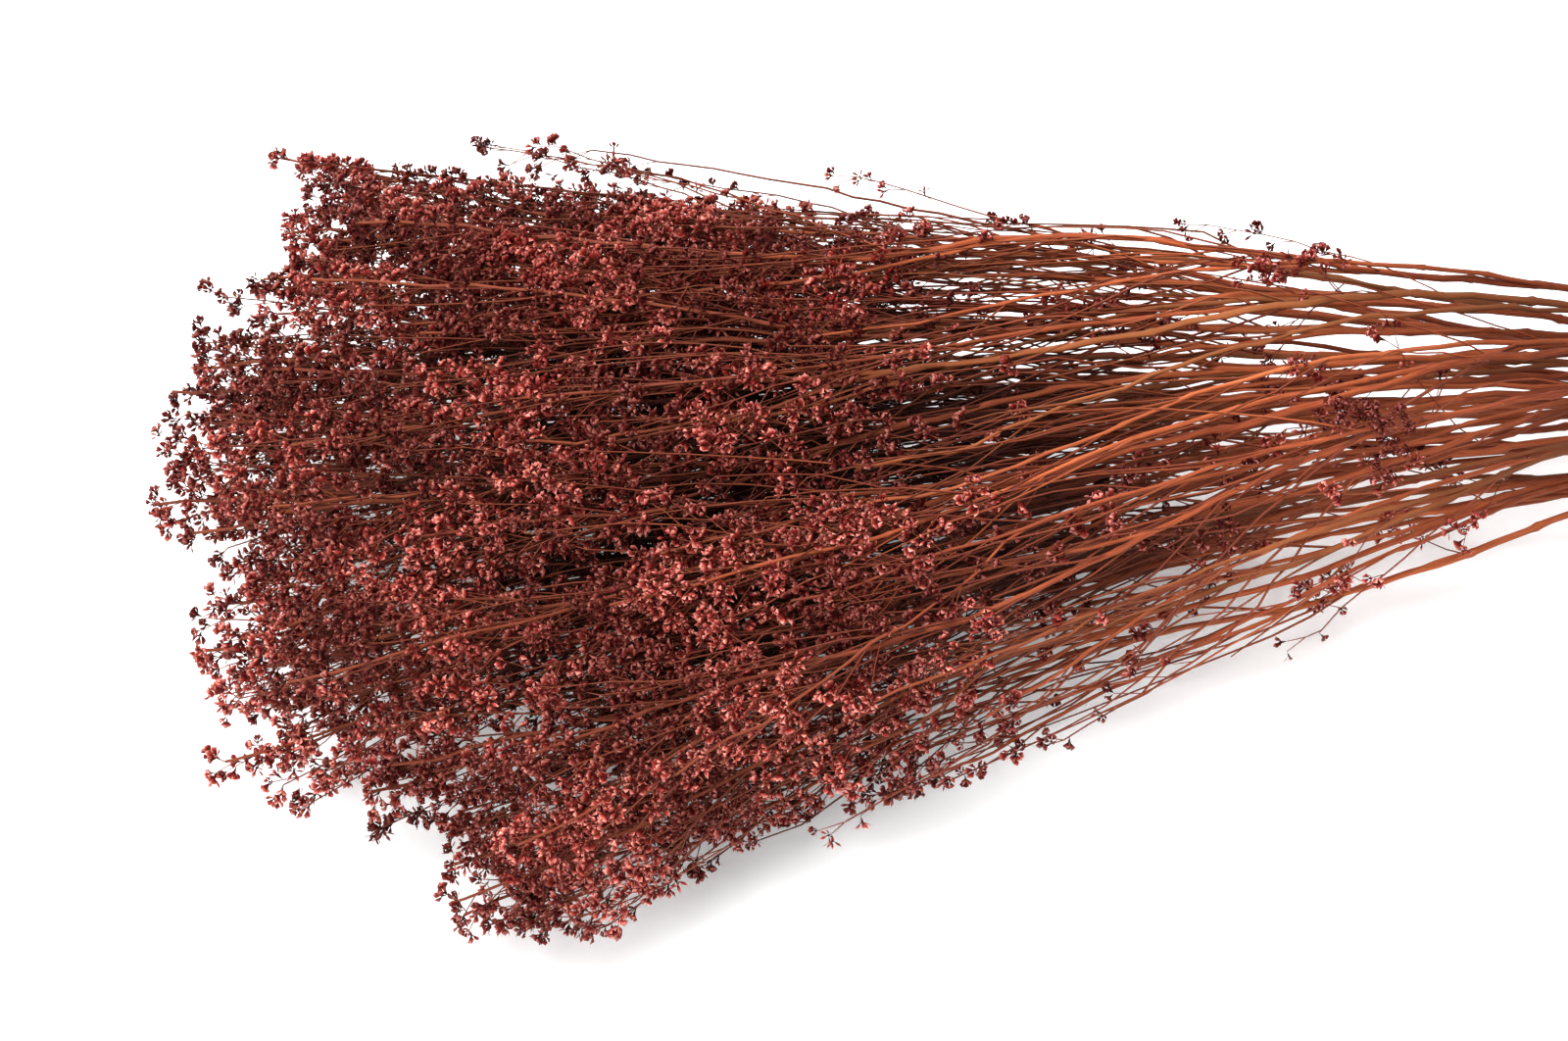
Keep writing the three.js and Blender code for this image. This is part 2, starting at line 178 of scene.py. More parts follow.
def growSpray(index):
    draw = drawer(bunch["firstSeed"] + bunch["seedStep"] * index)
    ring = math.sqrt((index + 0.5) / bunch["sprays"])
    u = ring * math.cos(index * goldenAngle)
    v = ring * math.sin(index * goldenAngle)
    across, up = turnedPlace(u, v, bunch["reach"])
    away = (1 - bunch["farUp"]) * across + bunch["farUp"] * up
    short = bunch["nearShort"] * min(0, across) ** 2 + bunch["lowShort"] * min(0, up) ** 2
    short += bunch["topShort"] * max(0, up) ** 2 + bunch["farShort"] * smooth(*bunch["farWithin"], away)
    end = bunch["reach"] * (1 - short) * (1 - bunch["endUneven"] * draw())
    stout = stems["radius"] + stems["uneven"] * draw()
    points = []

    def addPoint(at, s, radius, parent, chain, firmness, flowering):
        points.append(SimpleNamespace(at=at, rest=list(at), s=s, radius=radius, parent=parent, chain=chain,
                                      firmness=firmness, flowering=flowering))
        return len(points) - 1

    def flowerStations(s, pairs):
        return [s + 2 * (pair + 1) * heads["step"] for pair in range(pairs)]

    flowersFrom = end - 2 * heads["stemPairs"] * heads["step"]
    stations = [-bunch["cutBack"] + bunch["cutUneven"] * draw(), -bunch["pastTie"], bunch["pastTie"]]
    stations += stems["firstStations"]
    while stations[-1] + stems["lastStation"] * stems["stationStep"] < flowersFrom:
        stations.append(stations[-1] + stems["stationStep"])
    stations += [flowersFrom] + flowerStations(flowersFrom, heads["stemPairs"])
    wavePhase = draw() * fullTurn
    waveLength = between(stems["waveLength"], draw())
    stem = []
    for s in stations:
        at = placeAt(u, v, s)
        grown = smooth(*stems["waveWithin"], s)
        wave = (s / waveLength) * fullTurn
        at[1] += grown * stems["wave"] * math.sin(wave + wavePhase)
        at[2] += grown * stems["bob"] * math.cos(wave + wavePhase * stems["bobPhase"])
        radius = stout * (1 - stems["taper"] * smooth(stems["taperFrom"], end, s))
        firmness = 1 if s < easing["heldUpTo"] else easing["stemFirm"]
        stem.append(addPoint(at, s, radius, len(points) - 1, 0, firmness, s > flowersFrom))

    azimuth = draw() * fullTurn
    branches = []
    for chain, (fromBranch, forkAt, forkShort, forkMore) in enumerate(stems["forks"], 1):
        parentChain = stem if fromBranch < 0 else branches[fromBranch]
        at = min(forkAt, stems["forkWithin"] * end)
        bare = [i for i in parentChain if not points[i].flowering]
        root = min(bare, key=lambda i: abs(points[i].s - at))
        start = points[root].s
        least = start + stems["leastBare"] + 2 * heads["branchPairs"] * heads["step"]
        to = max(end - forkShort - forkMore * draw(), least)
        angle = azimuth + (chain - 1) * goldenAngle
        spread = min(between(stems["branchSpread"], draw()) * (to - start), stems["mostSpread"])
        u1 = u + spread * math.cos(angle) / halfWidth(to)
        v1 = v + spread * stems["flattened"] * math.sin(angle) / halfHeight(to)
        beyond = max(1, math.hypot(u1, v1))
        u1 /= beyond
        v1 /= beyond
        sway = stems["branchSway"] * draw()
        swayWay = draw() * fullTurn
        grownAt = placeAt(u, v, start)
        shiftY = points[root].at[1] - grownAt[1]
        shiftZ = points[root].at[2] - grownAt[2]
        flowersFrom = to - 2 * heads["branchPairs"] * heads["step"]
        ids = [root]
        halfway = 0.5 * (start + flowersFrom)
        for s in [halfway, flowersFrom] + flowerStations(flowersFrom, heads["branchPairs"]):
            t = (s - start) / (to - start)
            away = 1 - (1 - t) ** stems["branchBend"]
            at = placeAt(u + (u1 - u) * away, v + (v1 - v) * away, s)
            swing = sway * math.sin(math.pi * t)
            at[1] += swing * math.cos(swayWay) + shiftY * (1 - t)
            at[2] += swing * 0.5 * math.sin(swayWay) + shiftZ * (1 - t)
            radius = points[root].radius * stems["branchStout"] * (1 - stems["branchTaper"] * t)
            radius = max(stems["thinnest"], radius)
            ids.append(addPoint(at, s, radius, ids[-1], chain, easing["headFirm"], s > flowersFrom))
        branches.append(ids)
    return {"index": index, "points": points, "chains": [stem] + branches,
            "end": end, "across": across, "up": up, "loose": []}


def nearestShares(a, b, c, e, f):
    # where on each of two stretches they come closest, from the products of their ways and the way between
    denominator = a * e - b * b
    s = min(1.0, max(0.0, (b * f - c * e) / denominator)) if denominator > 1e-9 else 0.5
    t = (b * s + f) / e
    if t < 0 or t > 1:
        t = min(1.0, max(0.0, t))
        s = min(1.0, max(0.0, (b * t - c) / a))
    return s, t


def gapsBetween(a1, b1, a2, b2):
    d1, d2, r = b1 - a1, b2 - a2, a1 - a2
    a, e = (d1 * d1).sum(1), (d2 * d2).sum(1)
    f, c, b = (d2 * r).sum(1), (d1 * r).sum(1), (d1 * d2).sum(1)
    denominator = a * e - b * b
    s = np.where(denominator > 1e-9, np.clip((b * f - c * e) / np.maximum(denominator, 1e-9), 0, 1), 0.5)
    t = (b * s + f) / e
    outside = (t < 0) | (t > 1)
    t = np.clip(t, 0, 1)
    s = np.where(outside, np.clip((b * t - c) / a, 0, 1), s)
    return np.linalg.norm(r + d1 * s[:, None] - d2 * t[:, None], axis=1)


def dot(a, b):
    return a[0] * b[0] + a[1] * b[1] + a[2] * b[2]


def less(a, b):
    return a[0] - b[0], a[1] - b[1], a[2] - b[2]


def pushApart(one, two):
    # moves the ends of two stretches off each other, across and up and down
    room = one[2] + two[2] + easing["clear"]
    p1, q1, p2, q2 = one[0].at, one[1].at, two[0].at, two[1].at
    if min(p1[1], q1[1]) - max(p2[1], q2[1]) > room or min(p2[1], q2[1]) - max(p1[1], q1[1]) > room:
        return
    d1, d2, r = less(q1, p1), less(q2, p2), less(p1, p2)
    s, t = nearestShares(dot(d1, d1), dot(d1, d2), dot(d1, r), dot(d2, d2), dot(d2, r))
    apart = [r[axis] + d1[axis] * s - d2[axis] * t for axis in (0, 1, 2)]
    distance = math.sqrt(dot(apart, apart))
    if distance >= room:
        return
    if distance < 1e-6:
        apart = [0.0, 0.0, 1.0]
    length = math.hypot(apart[1], apart[2]) or 1.0
    push = (room - distance) * 0.5 / length
    for point, share, way in ((one[0], 1 - s, 1), (one[1], s, 1), (two[0], 1 - t, -1), (two[1], t, -1)):
        scale = way * share * (1 - point.firmness) / (1 - easing["headFirm"]) * push
        point.at[1] += apart[1] * scale
        point.at[2] += apart[2] * scale


def easeApart(sprays):
    stretches = []
    for spray in sprays:
        for point in spray["points"]:
            if point.parent >= 0:
                parent = spray["points"][point.parent]
                radius = heads["radius"] + heads["sway"] if point.flowering else parent.radius
                stretches.append((parent, point, radius, spray["index"], point.chain))
    stretches.sort(key=lambda stretch: min(stretch[0].at[0], stretch[1].at[0]))
    lowX = np.array([min(stretch[0].at[0], stretch[1].at[0]) for stretch in stretches])
    highX = np.array([max(stretch[0].at[0], stretch[1].at[0]) for stretch in stretches])
    radii = np.array([stretch[2] for stretch in stretches])
    widest = radii.max()
    first, second = [], []
    for m, one in enumerate(stretches):
        for n in range(m + 1, int(np.searchsorted(lowX, highX[m] + 2 * widest, side="right"))):
            two = stretches[n]
            joined = one[4] == two[4] or one[0] is two[0] or one[0] is two[1] or one[1] is two[0]
            if one[3] != two[3] or not joined:
                first.append(m)
                second.append(n)
    first, second = np.array(first), np.array(second)
    need = radii[first] + radii[second] + easing["clear"]
    near = []
    for turn in range(easing["rounds"]):
        always = turn < easing["searchAlways"]
        if always or turn % easing["thenEvery"] == 0:
            a = np.array([stretch[0].at for stretch in stretches])
            b = np.array([stretch[1].at for stretch in stretches])
            reach = easing["reach"] if always else easing["thenReach"]
            close = gapsBetween(a[first], b[first], a[second], b[second]) < need + reach
            near = [(stretches[m], stretches[n]) for m, n in zip(first[close], second[close])]
        for one, two in near:
            pushApart(one, two)
        for spray in sprays:
            for point in spray["points"]:
                if point.parent < 0 or point.firmness == 1:
                    continue
                parent = spray["points"][point.parent]
                if turn < easing["rounds"] - easing["lastRounds"]:
                    for axis in (0, 1, 2):
                        wanted = point.rest[axis] - parent.rest[axis] + parent.at[axis]
                        point.at[axis] += (wanted - point.at[axis]) * easing["pullBack"]
                floor = heads["radius"] - tie["pressed"] if point.flowering else point.radius
                point.at[2] = max(point.at[2], floor)


sprays = [growSpray(index) for index in range(bunch["sprays"])]
easeApart(sprays)
tieLow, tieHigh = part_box("tie")
shift = np.array([(tieLow[0] + tieHigh[0]) / 2, (tieLow[1] + tieHigh[1]) / 2, 0]) / mm
for spray in sprays:
    for point in spray["points"]:
        point.place = np.array(point.at) + shift
print("sprays grown:", len(sprays))

# Node trees
def addNode(tree, kind, inputs=None, **settings):
    node = tree.nodes.new(kind)
    for label, value in settings.items():
        setattr(node, label, value)
    for label, value in (inputs or {}).items():
        if isinstance(value, bpy.types.NodeSocket):
            tree.links.new(value, node.inputs[label])
        else:
            node.inputs[label].default_value = value
    return node


def newTree(name, inputs):
    tree = bpy.data.node_groups.new(name, "GeometryNodeTree")
    tree.interface.new_socket("Geometry", in_out="INPUT", socket_type="NodeSocketGeometry")
    for label, kind in inputs.items():
        tree.interface.new_socket(label, in_out="INPUT", socket_type="NodeSocket" + kind)
    tree.interface.new_socket("Geometry", in_out="OUTPUT", socket_type="NodeSocketGeometry")
    return tree, addNode(tree, "NodeGroupInput").outputs


def finishTree(tree, start, geometry):
    realize = addNode(tree, "GeometryNodeRealizeInstances", {"Geometry": geometry})
    coated = addNode(tree, "GeometryNodeSetMaterial", {
        "Geometry": realize.outputs["Geometry"], "Material": start["Material"],
    })
    addNode(tree, "NodeGroupOutput", {"Geometry": coated.outputs["Geometry"]})
    return tree


def namedValue(tree, name, kind="FLOAT"):
    node = addNode(tree, "GeometryNodeInputNamedAttribute", {"Name": name}, data_type=kind)
    return node.outputs["Attribute"]


def evaluateTree(source, tree, values, name):
    modifier = source.modifiers.new("shape", "NODES")
    modifier.node_group = tree
    for item in tree.interface.items_tree:
        if item.item_type == "SOCKET" and item.in_out == "INPUT" and item.name in values:
            modifier[item.identifier] = values[item.name]
    bpy.context.view_layer.update()
    evaluated = source.evaluated_get(bpy.context.evaluated_depsgraph_get())
    made = bpy.data.meshes.new_from_object(evaluated)
    source.modifiers.remove(modifier)
    bpy.data.objects.remove(source)
    piece = bpy.data.objects.new(name, made)
    made.name = name
    bpy.context.scene.collection.objects.link(piece)
    return piece


def pointObject(name, points, edges, attributes):
    mesh = bpy.data.meshes.new(name)
    mesh.from_pydata([tuple(p) for p in points], edges, [])
    for label, (kind, values) in attributes.items():
        attribute = mesh.attributes.new(label, kind, "POINT")
        values = np.asarray(values, float if kind != "INT" else int)
        attribute.data.foreach_set("vector" if kind == "FLOAT_VECTOR" else "value", values.ravel())
    holder = bpy.data.objects.new(name, mesh)
    bpy.context.scene.collection.objects.link(holder)
    return holder


# Twigs: each line of points becomes a tube as thick as its radius attribute says
sides = {"Stem Sides": 6, "Branch Sides": 5, "Twig Sides": 3, "Hair Sides": 3}


def makeTwigTree():
    tree, start = newTree("twigTubes", dict.fromkeys(sides, "Int") | {"Material": "Material"})
    curves = addNode(tree, "GeometryNodeMeshToCurve", {"Mesh": start["Geometry"]})
    join = addNode(tree, "GeometryNodeJoinGeometry")
    for order, label in enumerate(sides):
        # the third and fourth sockets of the compare node are the whole numbers
        chosen = addNode(tree, "FunctionNodeCompare", {2: namedValue(tree, "order", "INT"), 3: order},
                         data_type="INT", operation="EQUAL")
        part = addNode(tree, "GeometryNodeSeparateGeometry", {
            "Geometry": curves.outputs["Curve"], "Selection": chosen.outputs["Result"],
        }, domain="POINT")
        profile = addNode(tree, "GeometryNodeCurvePrimitiveCircle", {
            "Radius": 1.0, "Resolution": start[label],
        })
        position = addNode(tree, "GeometryNodeInputPosition")
        around = addNode(tree, "GeometryNodeStoreNamedAttribute", {
            "Geometry": profile.outputs["Curve"], "Name": "around", "Value": position.outputs["Position"],
        }, data_type="FLOAT_VECTOR")
        tube = addNode(tree, "GeometryNodeCurveToMesh", {
            "Curve": part.outputs["Selection"], "Profile Curve": around.outputs["Geometry"],
            "Scale": namedValue(tree, "radius"), "Fill Caps": True,
        })
        tree.links.new(tube.outputs["Mesh"], join.inputs["Geometry"])
    shade = addNode(tree, "GeometryNodeSetShadeSmooth", {"Geometry": join.outputs["Geometry"]})
    return finishTree(tree, start, shade.outputs["Geometry"])


# Flowers: one form out of a set on each point, aimed, rolled and sized by its attributes
def makeBloomTree():
    tree, start = newTree("bloomHeads", {"Forms": "Collection", "Material": "Material"})
    forms = addNode(tree, "GeometryNodeCollectionInfo", {
        "Collection": start["Forms"], "Separate Children": True, "Reset Children": True,
    })
    aim = addNode(tree, "FunctionNodeAlignRotationToVector", {
        "Vector": namedValue(tree, "aim", "FLOAT_VECTOR"),
    }, axis="Z")
    roll = addNode(tree, "FunctionNodeAxisAngleToRotation", {
        "Axis": (0, 0, 1), "Angle": namedValue(tree, "roll"),
    })
    turned = addNode(tree, "FunctionNodeRotateRotation", {
        "Rotation": aim.outputs["Rotation"], "Rotate By": roll.outputs["Rotation"],
    }, rotation_space="LOCAL")
    place = addNode(tree, "GeometryNodeInstanceOnPoints", {
        "Points": start["Geometry"], "Instance": forms.outputs["Instances"], "Pick Instance": True,
        "Instance Index": namedValue(tree, "form", "INT"), "Rotation": turned.outputs["Rotation"],
        "Scale": namedValue(tree, "size"),
    })
    return finishTree(tree, start, place.outputs["Instances"])


# Materials
def newMaterial(name, constants):
    material = bpy.data.materials.new(name)
    material.use_nodes = True
    shader = material.node_tree.nodes["Principled BSDF"]
    for label, value in constants.items():
        shader.inputs[label].default_value = value
    return material, material.node_tree, shader


def shaderAttribute(tree, name, output="Fac"):
    return addNode(tree, "ShaderNodeAttribute", attribute_name=name).outputs[output]


def shaderMath(tree, operation, *values):
    return addNode(tree, "ShaderNodeMath", dict(enumerate(values)), operation=operation).outputs[0]


def shaderRamp(tree, factor, stops):
    node = addNode(tree, "ShaderNodeValToRGB", {"Fac": factor})
    elements = node.color_ramp.elements
    while len(elements) < len(stops):
        elements.new(0.5)
    for element, (position, colour) in zip(elements, stops):
        element.position = position
        element.color = (*colour, 1)
    return node.outputs["Color"]


def shaderMix(tree, factor, first, second, blend="MIX"):
    # of the mix node's sockets, these are the factor, the two colours and the mixed colour
    colours = [(*value, 1) if isinstance(value, tuple) else value for value in (first, second)]
    node = addNode(tree, "ShaderNodeMix", {0: factor, 6: colours[0], 7: colours[1]},
                   data_type="RGBA", blend_type=blend)
    return node.outputs[2]


def shaderNoise(tree, vector, scale, detail=3.0, roughness=0.55):
    values = {"Vector": vector, "Scale": scale, "Detail": detail, "Roughness": roughness}
    return addNode(tree, "ShaderNodeTexNoise", values).outputs["Fac"]


def shaderBump(tree, shader, height, strength, distance):
    bump = addNode(tree, "ShaderNodeBump", {"Height": height, "Strength": strength, "Distance": distance})
    tree.links.new(bump.outputs["Normal"], shader.inputs["Normal"])


def objectPlace(tree):
    return addNode(tree, "ShaderNodeTexCoord").outputs["Object"]


def tubePlace(tree, lengthways):
    # the place on a tube's profile, and the distance along the tube as its third number
    parts = addNode(tree, "ShaderNodeSeparateXYZ", {0: shaderAttribute(tree, "around", "Vector")}).outputs
    return addNode(tree, "ShaderNodeCombineXYZ", {0: parts[0], 1: parts[1], 2: lengthways}).outputs[0]


# painted shade: mixes a colour towards its shade tint as far as the inside attribute says
def paintShade(tree, colour, shadeTint):
    dimmed = shaderMix(tree, 1.0, colour, shadeTint, "MULTIPLY")
    return shaderMix(tree, shaderAttribute(tree, "inside"), colour, dimmed)


barkLook = {
    "deep": (0.050, 0.009, 0.004), "brown": (0.28, 0.055, 0.019), "copper": (0.55, 0.132, 0.042),
    "pale": (0.68, 0.24, 0.105), "olive": (0.16, 0.068, 0.021), "dusk": (0.135, 0.027, 0.015),
    # shadeTint is the painted shade for bark deep in the bunch, under it and near the tie
    "shadeTint": (0.17, 0.11, 0.10), "cut": (0.50, 0.29, 0.15), "pith": (0.20, 0.10, 0.05),
    "surface": {"Roughness": 0.6, "Specular IOR Level": 0.15},
    # how fine the streaks, patches and ribs are, how fast they change along a stem and from stem to stem,
    # and the shares of streaks, patches and each twig's own tone in the shade
    "streaks": 2.6, "patches": 0.35, "ribs": (3.2, 3.2, 0.12), "perMetre": 60, "perTone": 50,
    "shares": (0.75, 0.45, 0.5), "darker": -0.36, "grain": 2200, "grainShare": 0.9, "relief": (0.55, 0.0004),
}


def makeBark():
    look = barkLook
    material, tree, shader = newMaterial("copperBark", look["surface"])
    along = shaderAttribute(tree, "along")
    tone = shaderAttribute(tree, "tone")
    ownPart = shaderMath(tree, "MULTIPLY", tone, look["perTone"])
    place = tubePlace(tree, shaderMath(tree, "MULTIPLY_ADD", along, look["perMetre"], ownPart))
    streaks = shaderNoise(tree, place, look["streaks"], 5, 0.62)
    patches = shaderNoise(tree, place, look["patches"], 2)
    streakShare, patchShare, toneShare = look["shares"]
    shade = shaderMath(tree, "MULTIPLY_ADD", tone, toneShare, look["darker"])
    shade = shaderMath(tree, "MULTIPLY_ADD", patches, patchShare, shade)
    shade = shaderMath(tree, "MULTIPLY_ADD", streaks, streakShare, shade)
    colour = shaderRamp(tree, shade, [
        (0.15, look["deep"]), (0.38, look["brown"]), (0.62, look["copper"]), (0.9, look["pale"]),
    ])
    colour = shaderMix(tree, shaderAttribute(tree, "olive"), colour, look["olive"])
    colour = shaderMix(tree, shaderAttribute(tree, "fine"), colour, look["dusk"])
    # painted shade on the bark deep in the bunch, under it and near the tie
    colour = paintShade(tree, colour, look["shadeTint"])
    # the sawn end of a stem, with its pith
    grain = shaderNoise(tree, objectPlace(tree), look["grain"])
    pithShare = shaderMath(tree, "MULTIPLY", grain, look["grainShare"])
    face = shaderMix(tree, pithShare, look["cut"], look["pith"])
    colour = shaderMix(tree, shaderMath(tree, "LESS_THAN", along, 0.1 * mm), colour, face)
    tree.links.new(colour, shader.inputs["Base Color"])
    ribs = addNode(tree, "ShaderNodeVectorMath", {0: place, 1: look["ribs"]}, operation="MULTIPLY")
    relief = shaderNoise(tree, ribs.outputs[0], 1.0)
    shaderBump(tree, shader, shaderMath(tree, "ADD", relief, streaks), *look["relief"])
    return material


petalLook = {
    "stalk": (0.06, 0.009, 0.005), "calyx": (0.030, 0.003, 0.0015), "deep": (0.055, 0.003, 0.002),
    "brick": (0.150, 0.009, 0.006), "rose": (0.35, 0.050, 0.038), "peachTipGlint": (0.85, 0.355, 0.285),
    # shadeTint is the painted shade for florets deep in the bunch, under it and in the hollows between clumps
    "shadeTint": (0.07, 0.028, 0.024), "surface": {"Roughness": 0.55, "Specular IOR Level": 0.06},
    "mottle": 900, "mottled": 0.35, "veins": 2600, "relief": (0.35, 0.0003),
    # the colours from the foot of a floret to its tips, of the darkest florets and of the lightest; the pale
    # peach at the tips is partly the bracts' own pale tips and partly a painted highlight
    "darkStops": {0.0: "stalk", 0.3: "calyx", 0.55: "deep", 0.85: "brick", 1.0: "rose"},
    "lightStops": {0.0: "stalk", 0.25: "deep", 0.5: "brick", 0.75: "rose", 0.95: "peachTipGlint"},
}


def makePetal():
    look = petalLook
    material, tree, shader = newMaterial("dryPetal", look["surface"])
    place = objectPlace(tree)
    mottle = shaderNoise(tree, place, look["mottle"])
    veins = shaderNoise(tree, place, look["veins"], 2)
    change = shaderMath(tree, "MULTIPLY_ADD", mottle, look["mottled"], -look["mottled"] / 2)
    reach = shaderMath(tree, "ADD", shaderAttribute(tree, "tip"), change)
    dark, light = (
        shaderRamp(tree, reach, [(stop, look[label]) for stop, label in look[ramp].items()])
        for ramp in ("darkStops", "lightStops")
    )
    # the florets' own tone, with painted shade deep in the bunch, under it and in the hollows between clumps
    colour = paintShade(tree, shaderMix(tree, shaderAttribute(tree, "tone"), dark, light), look["shadeTint"])
    tree.links.new(colour, shader.inputs["Base Color"])
    shaderBump(tree, shader, shaderMath(tree, "ADD", mottle, veins), *look["relief"])
    return material


bark = makeBark()
petalPaper = makePetal()

# Flower forms
bloom = {
    "variants": 4, "height": 2.1, "stalk": 1.2, "calyx": 0.5, "calyxRadius": 0.4,
    "petalFoot": 0.55,  # how high in the calyx the petals start, as a share
    "bendAt": 0.58, "beyondBend": 0.4, "tipSway": 0.3, "edgeFold": 0.22, "ridge": 0.14,
    "turnUneven": 0.35, "leanUneven": 18, "sizes": (0.84, 1.16),
    # how many, length, width, lean at the foot and at the tip in degrees, distance from the middle
    "bud": [(5, 2.3, 1.55, (46, -38), 0.3)],
    "cup": [(5, 2.35, 1.4, (50, 0), 0.3)],
    "star": [(5, 2.6, 0.8, (66, 46), 0.25), (1, 1.9, 0.9, (12, -10), 0.1)],
    "share": {"bud": 0.44, "cup": 0.34, "star": 0.22},
    "shade": {"calyx": 0.25, "foot": 0.22, "ridge": 0.56, "edge": (0.7, 0.9), "tip": 1.0},
}


def buildForm(kind, seed, collection):
    draw = drawer(seed)
    verts, faces, tips = [], [], []
    shade = bloom["shade"]

    def add(points, values, triangles):
        base = len(verts)
        verts.extend(points)
        tips.extend(values)
        faces.extend(tuple(base + i for i in face) for face in triangles)

    def addPetal(angle, lean, length, width, start, ridged):
        radial = np.array([math.cos(angle), math.sin(angle), 0])
        side = np.array([-math.sin(angle), math.cos(angle), 0])
        up = np.array([0, 0, 1.0])
        low, high = (math.radians(value) for value in lean)
        base = radial * start + up * (bloom["stalk"] + bloom["calyx"] * bloom["petalFoot"])
        middle = base + (radial * math.sin(low) + up * math.cos(low)) * length * bloom["bendAt"]
        tip = middle + (radial * math.sin(high) + up * math.cos(high)) * length * bloom["beyondBend"]
        tip += side * bloom["tipSway"] * (draw() - 0.5)
        outward = radial * math.cos(low) - up * math.sin(low)
        left = middle - side * width / 2 - outward * bloom["edgeFold"]
        right = middle + side * width / 2 - outward * bloom["edgeFold"]
        edges = [between(shade["edge"], draw()) for _ in range(2)]
        corners = [base, left, right, tip]
        values = [shade["foot"], *edges, shade["tip"]]
        triangles = [(0, 2, 1), (1, 2, 3), (0, 1, 3), (0, 3, 2)]
        if ridged:
            corners.append(middle + outward * bloom["ridge"])
            values.append(shade["ridge"])
            triangles = [(0, 1, 2), (1, 3, 2), (0, 2, 4), (4, 2, 3), (0, 4, 1), (4, 3, 1)]
        volume = sum(np.dot(corners[i], np.cross(corners[j], corners[k])) for i, j, k in triangles)
        if volume < 0:
            triangles = [face[::-1] for face in triangles]
        add([tuple(c) for c in corners], values, triangles)

    corners = [(0, 0, 0)]
    for k in range(3):
        x, y = (bloom["calyxRadius"] * turn(fullTurn * k / 3) for turn in (math.cos, math.sin))
        corners.append((x, y, bloom["stalk"] + bloom["calyx"]))
    add(corners, [0.0] + [shade["calyx"]] * 3, [(0, 2, 1), (0, 3, 2), (0, 1, 3), (1, 2, 3)])
    for count, length, width, lean, start in bloom[kind]:
        phase = draw() * fullTurn
        for k in range(count):
            angle = phase + fullTurn * (k + bloom["turnUneven"] * (draw() - 0.5)) / count
            bent = [value + bloom["leanUneven"] * (draw() - 0.5) for value in lean]
            size = between(bloom["sizes"], draw())
            addPetal(angle, bent, length * size, width * size, start, kind == "bud")
    mesh = bpy.data.meshes.new("bloomForm")
    mesh.from_pydata([tuple(c * mm for c in p) for p in verts], [], faces)
    attribute = mesh.attributes.new("tip", "FLOAT", "POINT")
    attribute.data.foreach_set("value", tips)
    form = bpy.data.objects.new(f"bloomForm{len(collection.objects):02d}", mesh)
    collection.objects.link(form)


forms = bpy.data.collections.new("bloomForms")
bpy.context.scene.collection.children.link(forms)
for kind in bloom["share"]:
    for _ in range(bloom["variants"]):
        buildForm(kind, 900 + 31 * len(forms.objects), forms)

# Twigs of a spray
twigs = {
    "stemRadius": 0.79,  # share of the solid's own radius, which is to a corner
    "firstSeed": 7000, "step": 9.0, "kinks": (0.5, 0.8), "swayLengths": (23, 47), "thinAtEnd": 0.3,
    "nodeEvery": 27, "nodeSwell": 0.34, "radiusUneven": 0.05, "leastBranch": 0.36, "branchTaper": 0.45,
    "secondEvery": 12.0, "bareEvery": 52.0, "secondFrom": 190, "secondLength": (45, 125), "secondStep": 12,
    "secondAngle": (12, 26), "secondRadius": (0.42, 0.2), "secondWander": 0.07, "secondFlowers": 1.6,
    "topSprays": (20, 25), "topBare": 140, "topStout": 0.1,  # two on top flower only near their ends
    "sprigsFrom": 125, "sprigsTo": 240, "sprigLength": (18, 40), "sprigAngle": (18, 40),
    "sprigRadius": (0.26, 0.16), "sprigStops": (4, 3, 4, 2, 3, 4),
    "sprigsAcross": -0.25, "sprigsUp": 0.45,  # the sprays that have stray sprigs lie near or on top
    "firstNode": (15, 35), "nodeUneven": (0.6, 1.5), "rootSwell": 1.12, "oliveShare": 0.2,
    # tieEndShade is the painted shade on the bark near the tie, over tieEndWithin
    "cutDepth": 0.3, "slack": 2.5, "proud": 5, "tieEndShade": 0.74, "tieEndWithin": (120, 210),
}
flowering = {
    "depth": 215, "after": 262, "onset": 80,  # how far from its end, and from the tie, a spray flowers
    "every": 6.6, "everyUneven": (0.7, 1.3), "stalkLength": (5, 15), "stalkAngle": (22, 46),
    "stalkRadius": (0.19, 0.12), "stalkWander": 0.14, "stalkFlow": 0.1, "endRoom": 2.5, "seenAtEnd": 0.7,
    "onStalk": (3, 5), "sizes": (0.8, 1.2), "straightUpTo": 9, "leastHigh": 1.7,
    "seenFrom": (0.4, 0.8), "seenLeast": 0.1, "endsFrom": 60, "endsTo": 20, "underLess": 0.45, "cone": 55,
    # flowers gather in clumps of this size; hollowShade is the painted shade in the hollows between them
    "clumpSize": 17, "clumpShares": (0.4, 1.25), "hollowShade": 0.65,
    # nearLitPaler is painted light: the florets on the near side are made paler, as if lit more from the
    # front
    "tone": 0.43, "nearLitPaler": 0.35, "sprayUneven": 0.1, "clusterUneven": 0.14, "floretUneven": 0.2,
}


def lengthsAlong(points):
    return np.concatenate([[0], np.cumsum(np.linalg.norm(np.diff(points, axis=0), axis=1))])


def stretchAt(lengths, distance):
    return min(len(lengths) - 2, int(np.searchsorted(lengths, distance, side="right")) - 1)


